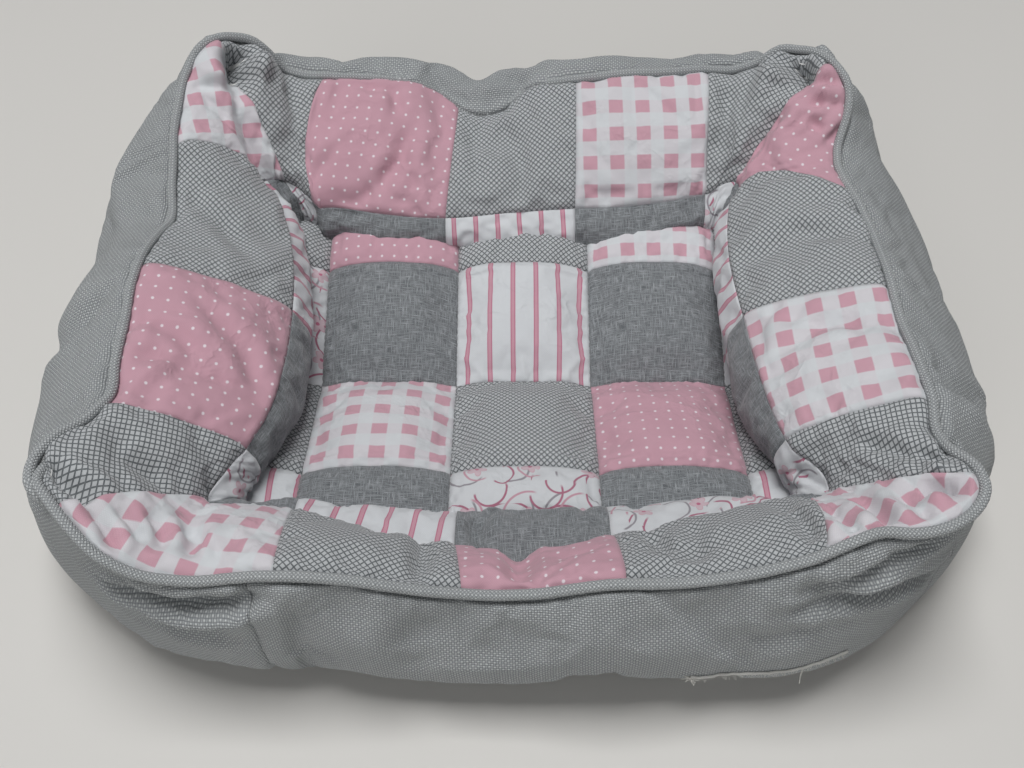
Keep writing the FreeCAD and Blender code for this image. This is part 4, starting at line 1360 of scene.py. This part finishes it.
# The filling stays inside the cloth, also under the creases.
inner_fine = ring_fine - calm_normals * (FILLING_GAP + np.maximum(-move, 0.0))[..., None]
ring_fine = ring_fine + calm_normals * move[..., None]
ring_normals = calm(grid_normals(ring_fine, closed=True), SKIN_CALM_STEPS, closed=True)
print("creases:", len(CREASES))

# %% Puckers of the base
BASE_PUCKER = 0.9
BASE_PUCKER_REACH = 6.0
BASE_CLOSE = 1.5
BASE_LUMP = 0.9
BASE_LUMP_X, BASE_LUMP_Y = 43.0, 37.0  # wavelengths of the lumps
COLUMN_SEAM_RIPPLE, ROW_SEAM_RIPPLE = 5.6, 6.4  # wavelengths of the puckers
fine_x, fine_y = base_fine[..., 0], base_fine[..., 1]
x_wave = uneven(fine_x + 0.4 * fine_y, BASE_LUMP_X, 0.8)
y_wave = uneven(fine_y - 0.3 * fine_x, BASE_LUMP_Y, 2.2)
move = BASE_LUMP * x_wave * y_wave
for number, seam_x in enumerate(BASE_X[1:-1]):
    for side in (-1.0, 1.0):
        beside = np.maximum((fine_x - seam_x) * side, 0.0)
        ripple = uneven(fine_y + beside * 0.5, COLUMN_SEAM_RIPPLE, number * 2.0 + side)
        near = bump(beside, BASE_PUCKER_REACH) * np.minimum(1.0, beside / BASE_CLOSE)
        move += BASE_PUCKER * ripple * near
for number, seam_y in enumerate(BASE_Y[1:-1]):
    for side in (-1.0, 1.0):
        beside = np.maximum((fine_y - seam_y) * side, 0.0)
        ripple = uneven(fine_x, ROW_SEAM_RIPPLE, number * 1.7 + side)
        near = bump(beside, BASE_PUCKER_REACH) * np.minimum(1.0, beside / BASE_CLOSE)
        strength = BASE_PUCKER if seam_y == QUILTED_ROW else BASE_PUCKER / 2
        move += strength * ripple * near
base_fine = base_fine + grid_normals(base_fine, closed=False) * move[..., None]
base_normals = grid_normals(base_fine, closed=False)
print(f"puckers of the base: {np.abs(move).max():.2f} mm at most")


# %% Skins
class Skin:
    """A fine grid that is cut into cloths."""

    def __init__(self, points, normals, uv, cloths, rows, columns, closed):
        self.points = points.reshape(-1, 3)
        self.normals = normals.reshape(-1, 3)
        self.faces = grid_faces(points.shape[0], points.shape[1], closed)
        self.uv = split_faces(uv, rows, columns)
        per_corner = np.repeat(cloths[:, None, None], 4, 1)
        self.cloths = split_faces(per_corner, rows, columns)[:, 0, 0].round().astype(int)


ring_skin = Skin(ring_fine, ring_normals, ring_uv, ring_cloths, FOOT_ROW, COLUMNS, True)
base_skin = Skin(base_fine, base_normals, base_uv, base_cloths, len(xs) - 1, len(ys) - 1, False)
for old in (ring, base):
    bpy.data.objects.remove(old)
print("faces:", len(ring_skin.faces), "on the ring,", len(base_skin.faces), "on the base")

# %% [markdown]
# ## Cutting out the cloths
# Each cloth is cut from the skin by its number, gets its thickness inwards and stands for its
# node of the frame. Patches of one print on one wall are one piece, as in the frame.

# %% Cut a cloth
LINING_THICKNESS = 1.0
CANVAS_THICKNESS = 1.2


def cloth_piece(name, skin, numbers, thickness, finish):
    """The faces with the given cloth numbers, as a closed thin cloth."""
    mine = np.isin(skin.cloths, numbers)
    faces, uv = skin.faces[mine], skin.uv[mine]
    used, inverse = np.unique(faces, return_inverse=True)
    faces = inverse.reshape(-1, 4)
    outside = skin.points[used]
    inside = outside - skin.normals[used] * thickness
    n = len(used)
    edges = {}
    for f, face in enumerate(faces.tolist()):
        for k in range(4):
            a, b = face[k], face[(k + 1) % 4]
            key = (a, b) if a < b else (b, a)
            edges.setdefault(key, []).append((a, b, f, k))
    rim_faces, rim_uv = [], []
    for found in edges.values():
        if len(found) == 1:
            a, b, f, k = found[0]
            rim_faces.append((b, a, a + n, b + n))
            one, two = uv[f, k], uv[f, (k + 1) % 4]
            rim_uv.append((two, one, one, two))
    all_faces = np.concatenate([faces, faces[:, ::-1] + n, np.array(rim_faces)])
    all_uv = np.concatenate([uv, uv[:, ::-1], np.array(rim_uv)])
    made = mesh_object(name, np.concatenate([outside, inside]), all_faces)
    finish_piece(made, all_uv, finish)
    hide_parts(name.replace("cloth_", "", 1))


def finish_piece(made, uv, finish):
    """Smooth shading, the cloth UVs, the material and the body."""
    made.data.uv_layers.new(name="cloth")
    made.data.uv_layers["cloth"].data.foreach_set("uv", np.asarray(uv).ravel())
    made.data.materials.append(MATERIALS[finish])
    made.data.polygons.foreach_set("use_smooth", np.ones(len(made.data.polygons), bool))
    made.data.update()
    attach(made, "root")


# %% Linings and outer panels
def cut_lining(place, skin, prints_by_number):
    """One piece for each print, from a list of (cloth number, print)."""
    for name in sorted({name for _, name in prints_by_number}):
        numbers = [number for number, found in prints_by_number if found == name]
        cloth_piece(f"cloth_{place}_lining_{name}", skin, numbers, LINING_THICKNESS, name)


for wall in WALLS:
    mine = [k for k in range(PATCHES) if SEAM_WALLS[k] == wall]
    lower_prints = [(k, LOWER_PRINTS[k]) for k in mine]
    upper_prints = [(k + UPPER, UPPER_PRINTS[k]) for k in mine]
    cut_lining(wall, ring_skin, lower_prints + upper_prints)
for number, wall in enumerate(WALLS, start=PANELS):
    cloth_piece(f"cloth_{wall}_outer_panel", ring_skin, [number], CANVAS_THICKNESS, "canvas")
cut_lining("base", base_skin, list(enumerate(name for row_prints in BASE_PRINTS for name in row_prints)))

# %% [markdown]
# ## Piping
# The rim carries a cord wrapped in canvas that was cut on the bias, so its weave runs
# slantwise. Both are tubes along the rim, and the cloth of the walls meets under them. Where the
# cloth beside the seam stands high, the piping is lifted too, up to PIPING_HIGHEST millimetres.

# %% Piping tubes
PIPING_RADIUS = 2.6
PIPING_LIFT, PIPING_HIGHEST = 1.9, 3.6  # least and greatest height of its axis over the seam
PIPING_CLEAR = 0.3
PIPING_CLOTH = 0.8
PIPING_SIDES = 14
CORD_SIDES = 8


def tube(name, centre, radius, sides, finish):
    """A tube along an open line, closed at both ends, with UVs along and round it."""
    forward = unit(np.gradient(centre, axis=0))
    side = unit(np.cross(forward, (0, 0, 1.0)))
    up = np.cross(side, forward)
    angle = 2 * math.pi * np.arange(sides) / sides
    points = (centre[:, None] + radius * (np.cos(angle)[None, :, None] * side[:, None]
                                          + np.sin(angle)[None, :, None] * up[:, None]))
    n = len(centre)
    along = np.concatenate([[0], np.cumsum(steps_of(centre))])
    faces, uv = [], []
    for i in range(n - 1):
        for k in range(sides):
            m = (k + 1) % sides
            faces.append((i * sides + k, i * sides + m, (i + 1) * sides + m, (i + 1) * sides + k))
            v0, v1 = 2 * math.pi * radius * k / sides, 2 * math.pi * radius * (k + 1) / sides
            uv += [(along[i], v0), (along[i], v1), (along[i + 1], v1), (along[i + 1], v0)]
    for first, order in ((0, -1), ((n - 1) * sides, 1)):
        faces.append(tuple(range(first, first + sides))[::order])
        uv += [(along[-1] * (order > 0), 0.0)] * sides
    made = mesh_object(name, points, faces)
    finish_piece(made, np.array(uv) * MM, finish)
    return made


# %% The line of the piping
# The piping's two ends pass each other near the front left corner: one dives under the lining, and
# the other stands out a little and bends back under the canvas.
JOIN_PATCH, JOIN_SHARE = 12, 0.8
JOIN_STEPS = 4
JOIN_OUT = 3.0
JOIN_EASE = 12
join_column = int(LINE_COLUMNS[JOIN_PATCH] + JOIN_SHARE * CELLS[JOIN_PATCH])
beside = ((ring_fine[rim_index - 2:rim_index + 2, ::FINE] - rim_line_before) * rim_rise).sum(-1)
lift = np.clip(beside.max(0) + PIPING_CLEAR, PIPING_LIFT, PIPING_HIGHEST)
lift = (np.roll(lift, 2) + np.roll(lift, 1) + lift + np.roll(lift, -1) + np.roll(lift, -2)) / 5
print(f"piping stands {lift.mean():.1f} mm over the seam on average, {lift.max():.1f} at most")
piping_line = np.roll(rim_line_before + rim_rise * lift[:, None], -join_column, axis=0)
outwards = np.append(piping_line[0][:2] / np.linalg.norm(piping_line[0][:2]), 0.0)
run = piping_line[1] - piping_line[0]
steps = np.arange(1, JOIN_STEPS + 1)[:, None]
tucked_end = piping_line[0] - run * steps * 0.7 - outwards * steps**1.5 * 0.9 - [0, 0, 0.5] * steps**1.5
loose_end = piping_line[-1] + run * steps * 0.8 + outwards * steps * (1.0 - 0.5 * steps)
loose_end += outwards * JOIN_OUT - [0, 0, 1.1] * steps**1.6
ease = (1 - np.arange(JOIN_EASE) / JOIN_EASE)[::-1, None]**2
piping_line[-JOIN_EASE:] += outwards * JOIN_OUT * ease
piping_line = np.concatenate([tucked_end[::-1], piping_line, loose_end])
cover = tube("piping_cover", piping_line, PIPING_RADIUS, PIPING_SIDES, "piping_canvas")
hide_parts("rim_piping_cover")
cord_radius = PIPING_RADIUS - PIPING_CLOTH
cord = tube("piping_cord", piping_line[1:-1], cord_radius, CORD_SIDES, "piping_cord")
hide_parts("rim_piping_cord")

# %% [markdown]
# ## Thread
# Stitches repeat along a seam, so a small Geometry Nodes tree makes them from a line: it sets a
# point at every stitch, turns a grain of thread along the line there, and makes one plain mesh
# of them all. The frayed edge of the torn bottom seam is made in the same way from bent fibres,
# each with its own length and lean.


# %% Geometry Nodes helpers
def node_tree(name, sockets):
    """An empty Geometry Nodes tree with named inputs, and its wiring."""
    tree = bpy.data.node_groups.new(name, "GeometryNodeTree")
    tree.interface.new_socket("Geometry", in_out="INPUT", socket_type="NodeSocketGeometry")
    for label, kind, value in sockets:
        tree.interface.new_socket(label, in_out="INPUT", socket_type=kind).default_value = value
    tree.interface.new_socket("Geometry", in_out="OUTPUT", socket_type="NodeSocketGeometry")
    source, sink = tree.nodes.new("NodeGroupInput"), tree.nodes.new("NodeGroupOutput")
    return tree, Wiring(tree), source.outputs, sink.inputs


def grown(name, lines, tree, values):
    """Runs a tree on lines of points in millimetres, and keeps the result as a plain mesh."""
    points, edges = [], []
    for line in lines:
        first = len(points)
        points += [tuple(point) for point in line]
        edges += [(first + i, first + i + 1) for i in range(len(line) - 1)]
    mesh = bpy.data.meshes.new(name)
    mesh.from_pydata((np.array(points) * MM).tolist(), edges, [])
    guide = bpy.data.objects.new(name + "_guide", mesh)
    bpy.context.scene.collection.objects.link(guide)
    modifier = guide.modifiers.new("grow", "NODES")
    modifier.node_group = tree
    for item in tree.interface.items_tree:
        if item.item_type == "SOCKET" and item.in_out == "INPUT" and item.name in values:
            modifier[item.identifier] = values[item.name]
    plain = bpy.data.meshes.new_from_object(guide.evaluated_get(bpy.context.evaluated_depsgraph_get()))
    bpy.data.objects.remove(guide)
    made = bpy.data.objects.new(name, plain)
    bpy.context.scene.collection.objects.link(made)
    plain.polygons.foreach_set("use_smooth", np.ones(len(plain.polygons), bool))
    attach(made, "root")
    print(name, "has", len(plain.polygons), "faces")


# %% Stitch tree
stitches, w, inp, out = node_tree("stitches", [
    ("Stitch", "NodeSocketFloat", 0.003), ("Gap", "NodeSocketFloat", 0.001),
    ("Thread", "NodeSocketFloat", 0.0006), ("Material", "NodeSocketMaterial", None)])
curve = w.add("GeometryNodeMeshToCurve", {"Mesh": inp["Geometry"]})
pitch = w.math("ADD", inp["Stitch"], inp["Gap"])
places = w.add("GeometryNodeResampleCurve", {"Curve": curve, "Length": pitch}, mode="LENGTH")
turn = w.add("FunctionNodeAlignRotationToVector", {"Vector": w.add("GeometryNodeInputTangent")}, axis="Z")
grain = w.add("GeometryNodeMeshUVSphere", {"Segments": 6, "Rings": 5, "Radius": 0.5})
placed = w.add("GeometryNodeInstanceOnPoints", {"Points": places, "Instance": grain, "Rotation": turn,
                                                "Scale": w.join(inp["Thread"], inp["Thread"], inp["Stitch"])})
real = w.add("GeometryNodeRealizeInstances", {"Geometry": placed})
finished = w.add("GeometryNodeSetMaterial", {"Geometry": real, "Material": inp["Material"]})
w.tree.links.new(finished, out["Geometry"])

# %% Fibre tree
fibres, w, inp, out = node_tree("fibres", [
    ("Spacing", "NodeSocketFloat", 0.0005), ("Length", "NodeSocketFloat", 0.0025),
    ("Thread", "NodeSocketFloat", 0.00012), ("Lean", "NodeSocketVector", (0.0, -0.6, -0.8)),
    ("Spread", "NodeSocketFloat", 0.6), ("Seed", "NodeSocketInt", 4),
    ("Material", "NodeSocketMaterial", None)])
curve = w.add("GeometryNodeMeshToCurve", {"Mesh": inp["Geometry"]})
places = w.add("GeometryNodeResampleCurve", {"Curve": curve, "Length": inp["Spacing"]}, mode="LENGTH")
stray = w.add("FunctionNodeRandomValue", {0: (-1.0, -1.0, -1.0), 1: (1.0, 1.0, 1.0), "Seed": inp["Seed"]},
              data_type="FLOAT_VECTOR")
lean = w.vector("ADD", w.scaled(stray, inp["Spread"]), inp["Lean"])
turn = w.add("FunctionNodeAlignRotationToVector", {"Vector": lean}, axis="Z")
bent = w.add("GeometryNodeCurveQuadraticBezier", {"Resolution": 4, "Start": (0.0, 0.0, 0.0),
                                                  "Middle": (0.0, 0.12, 0.5), "End": (0.25, 0.2, 1.0)})
ring_of_thread = w.add("GeometryNodeCurvePrimitiveCircle", {
    "Resolution": 4, "Radius": w.math("DIVIDE", inp["Thread"], inp["Length"])})
fibre = w.add("GeometryNodeCurveToMesh", {"Curve": bent, "Profile Curve": ring_of_thread, "Fill Caps": True})
size = w.add("FunctionNodeRandomValue", {2: 0.3, 3: 1.0, "Seed": inp["Seed"]}, output=1, data_type="FLOAT")
placed = w.add("GeometryNodeInstanceOnPoints", {"Points": places, "Instance": fibre, "Rotation": turn,
                                                "Scale": w.math("MULTIPLY", size, inp["Length"])})
real = w.add("GeometryNodeRealizeInstances", {"Geometry": placed})
finished = w.add("GeometryNodeSetMaterial", {"Geometry": real, "Material": inp["Material"]})
w.tree.links.new(finished, out["Geometry"])


# %% Thread material
def thread_material(name, pale, dark):
    """Twisted cotton thread: fine slanting bands on the piece's own place."""
    material = bpy.data.materials.new(name)
    material.use_nodes = True
    w = Wiring(material.node_tree)
    shader = material.node_tree.nodes["Principled BSDF"]
    place = w.add("ShaderNodeTexCoord", output=3)
    twist = w.add("ShaderNodeTexWave", {"Vector": place, "Scale": 900.0, "Distortion": 2.0}, output=1,
                  bands_direction="DIAGONAL")
    mixed = w.math("ADD", w.math("MULTIPLY", twist, 0.6), w.math("MULTIPLY", w.noise(place, 400.0), 0.5))
    w.tree.links.new(w.mix(mixed, dark, pale), shader.inputs["Base Color"])
    w.tree.links.new(w.add("ShaderNodeBump", {"Height": twist, "Strength": 0.5, "Distance": 0.0001}),
                     shader.inputs["Normal"])
    shader.inputs["Roughness"].default_value = 0.8
    return material


SEAM_THREAD = thread_material("seam_thread", linear(150, 152, 154), linear(112, 114, 117))
RAW_THREAD = thread_material("raw_canvas_thread", linear(226, 224, 218), linear(188, 187, 182))

# %% Stitches of the base and of the bottom seam
HIDDEN_STEPS = 8  # the quilting stops this many points before the edge, under the walls
STITCH_ROW = -3  # the bottom seam's stitches stand on the third fine row from the edge
STITCH_OUT = 0.2
STITCH_UP = 0.15
base_lines = [base_fine[mark * FINE, HIDDEN_STEPS:-HIDDEN_STEPS] for mark in x_marks[1:-1]]
base_lines.append(base_fine[HIDDEN_STEPS:-HIDDEN_STEPS, y_marks[BASE_Y.index(QUILTED_ROW)] * FINE])
bottom_seam = ring_fine[STITCH_ROW] + ring_normals[STITCH_ROW] * STITCH_OUT
grown("base_stitches", [line + [0, 0, STITCH_UP] for line in base_lines], stitches,
      {"Stitch": 0.0032, "Gap": 0.0012, "Thread": 0.0007, "Material": SEAM_THREAD})
grown("bottom_seam_stitches", [np.concatenate([bottom_seam, bottom_seam[:1]])], stitches,
      {"Stitch": 0.0035, "Gap": 0.0012, "Thread": 0.0008, "Material": SEAM_THREAD})

# %% The torn seam
# At the front right the bottom seam has come open. The canvas's raw edge is turned out there: a
# thin pale roll of loose threads with a little tuft at its end. Places and levels are those of
# the creases.
TEAR_ALONG = (16.42, 16.5, 16.9, 17.3)
TEAR_UP = (2.57, 2.58, 2.6, 2.63)
TEAR_ROLL, UNDER_ROLL, ROLL_SIDES = 0.75, 0.6, 8
TEAR_PLACES = np.linspace(TEAR_ALONG[0], TEAR_ALONG[-1], 56)
TEAR_LEVELS = np.interp(TEAR_PLACES, TEAR_ALONG, TEAR_UP)
raw_edge = np.array([on_ring(place, level) for place, level in zip(TEAR_PLACES, TEAR_LEVELS)])
wander = np.stack([uneven(TEAR_PLACES * 60, 5.0, k) for k in range(3)], 1)
raw_edge += np.array([0.0, -0.8, -0.2]) + 0.25 * wander
tube("torn_edge", raw_edge, TEAR_ROLL, ROLL_SIDES, "raw_edge")
under_flap = raw_edge[1:22] + [0.0, 1.2, -2.6]
tube("torn_under_edge", under_flap, UNDER_ROLL, ROLL_SIDES, "raw_edge")
grown("torn_edge_fibres", [raw_edge + [0, -0.3, -0.3]], fibres,
      {"Spacing": 0.0007, "Length": 0.0028, "Thread": 0.00013, "Material": RAW_THREAD})
TUFT = ((-1.6, 0.4), (-0.8, -0.4), (0.0, 0.3), (0.9, -0.5), (1.6, 0.2))  # x and z from the end of the roll
tuft = [raw_edge[0] + [x, -0.4, z] for x, z in TUFT]
grown("torn_edge_tuft", [tuft], fibres,
      {"Spacing": 0.0002, "Length": 0.0055, "Thread": 0.00025, "Spread": 1.0, "Material": RAW_THREAD})
grown("torn_edge_tail", [[raw_edge[38], raw_edge[38] + [0.6, 0, 0]]], fibres,
      {"Spacing": 0.0003, "Length": 0.010, "Thread": 0.00026, "Lean": (-0.25, -0.5, -1.0), "Spread": 0.15,
       "Material": RAW_THREAD})

# %% [markdown]
# ## What the cloth wraps
# The walls are stuffed with loose fibre, and the base holds a pad. The cloth hides them, but they
# are what fills it on such a bed, so they are closed forms just inside it. A cloth closes the bed
# underneath.

# %% Fillings
SEAT_CLEAR = 3.0
inner_line = inner_fine[:, ::FINE]
seat_x, seat_y = ring_points(low_s, np.full_like(low_s, SEAT_REACH))
wall_starts = [int(LINE_COLUMNS[k]) for k in MITRES] + [COLUMNS]
for wall, first, last in zip(WALLS, wall_starts, wall_starts[1:]):
    columns = np.arange(first, last + 1) % COLUMNS
    roll = inner_line[::FINE][:, columns]
    seat_z = np.full(len(columns), EDGE_HEIGHT + SEAT_CLEAR)
    base_corner = np.stack([seat_x[columns], seat_y[columns], seat_z], 1)
    low_corner = base_corner * [1, 1, 0] + [0, 0, 2 * FOOT_HEIGHT]
    roll = np.concatenate([base_corner[None], roll, low_corner[None]])
    rows, count = roll.shape[:2]
    i, j = np.meshgrid(np.arange(rows), np.arange(count - 1), indexing="ij")
    k = (i + 1) % rows
    sides = np.stack([i * count + j, k * count + j, k * count + j + 1, i * count + j + 1], -1).reshape(-1, 4)
    ends = [[r * count for r in reversed(range(rows))], [r * count + count - 1 for r in range(rows)]]
    made = mesh_object(f"filling_{wall}", roll, sides.tolist() + ends)
    finish_piece(made, np.zeros((len(made.data.loops), 2)), "filling")
    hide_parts(f"{wall}_wall_filling")

# %% Wadding
top = base_fine[::FINE, ::FINE] - [0, 0, LINING_THICKNESS + FILLING_GAP]
rows, count = top.shape[:2]
low = top * [1, 1, 0] + [0, 0, 2 * FOOT_HEIGHT]
upper_faces = grid_faces(rows, count, closed=False)
lower_faces = upper_faces[:, ::-1] + rows * count
border = list(range(count)) + [i * count + count - 1 for i in range(1, rows)]
border += [(rows - 1) * count + j for j in range(count - 2, -1, -1)]
border += [i * count for i in range(rows - 2, 0, -1)]
side_faces = [(b, a, a + rows * count, b + rows * count) for a, b in zip(border, border[1:] + border[:1])]
made = mesh_object("wadding", np.concatenate([top.reshape(-1, 3), low.reshape(-1, 3)]),
                   upper_faces.tolist() + lower_faces.tolist() + side_faces)
finish_piece(made, np.zeros((len(made.data.loops), 2)), "filling")
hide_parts("base_wadding")

# %% Bottom panel
BOTTOM_STEP = 3
BOTTOM_SHARES = (1.0, 0.96, 0.85, 0.65, 0.4, 0.15)  # the lines of the panel, as shares of its outline
foot_line = ring_fine[-1][::BOTTOM_STEP * FINE]
points = []
for height in (FOOT_HEIGHT, 0.0):
    for share in BOTTOM_SHARES:
        points.append(foot_line * [share, share, 0] + [0, 0, height])
points = np.concatenate(points)
outline = len(foot_line)
lower_first = outline * len(BOTTOM_SHARES)
faces = []
for first, upwards in ((0, True), (lower_first, False)):
    for i in range(len(BOTTOM_SHARES) - 1):
        for j in range(outline):
            a, b = first + i * outline + j, first + i * outline + (j + 1) % outline
            quad = (a, b, b + outline, a + outline)
            faces.append(quad if upwards else quad[::-1])
    middle = [first + lower_first - outline + j for j in range(outline)]
    faces.append(middle if upwards else middle[::-1])
faces += [(j, lower_first + j, lower_first + (j + 1) % outline, (j + 1) % outline) for j in range(outline)]
made = mesh_object("bottom_cloth", points, faces)
corners, _ = face_corners(made.data)
finish_piece(made, points[corners][:, :2] * MM, "bottom_cloth")
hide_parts("bottom_panel")

# %% Floor
FLOOR_HALF = 4000.0
floor_material = bpy.data.materials.new("pale_floor")
floor_material.use_nodes = True
floor_shader = floor_material.node_tree.nodes["Principled BSDF"]
floor_shader.inputs["Base Color"].default_value = linear(214, 212, 208)
floor_shader.inputs["Roughness"].default_value = 0.7
floor_points = [(x * FLOOR_HALF, y * FLOOR_HALF, 0) for x, y in ((-1, -1), (1, -1), (1, 1), (-1, 1))]
floor = mesh_object("floor", floor_points, [(0, 1, 2, 3)])
floor.data.materials.append(floor_material)
floor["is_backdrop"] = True

# %% Sizes
bpy.context.view_layer.update()
low_corner, high_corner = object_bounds()
print("visual box in mm:", [round(c / MM, 1) for c in (*low_corner, *high_corner)])
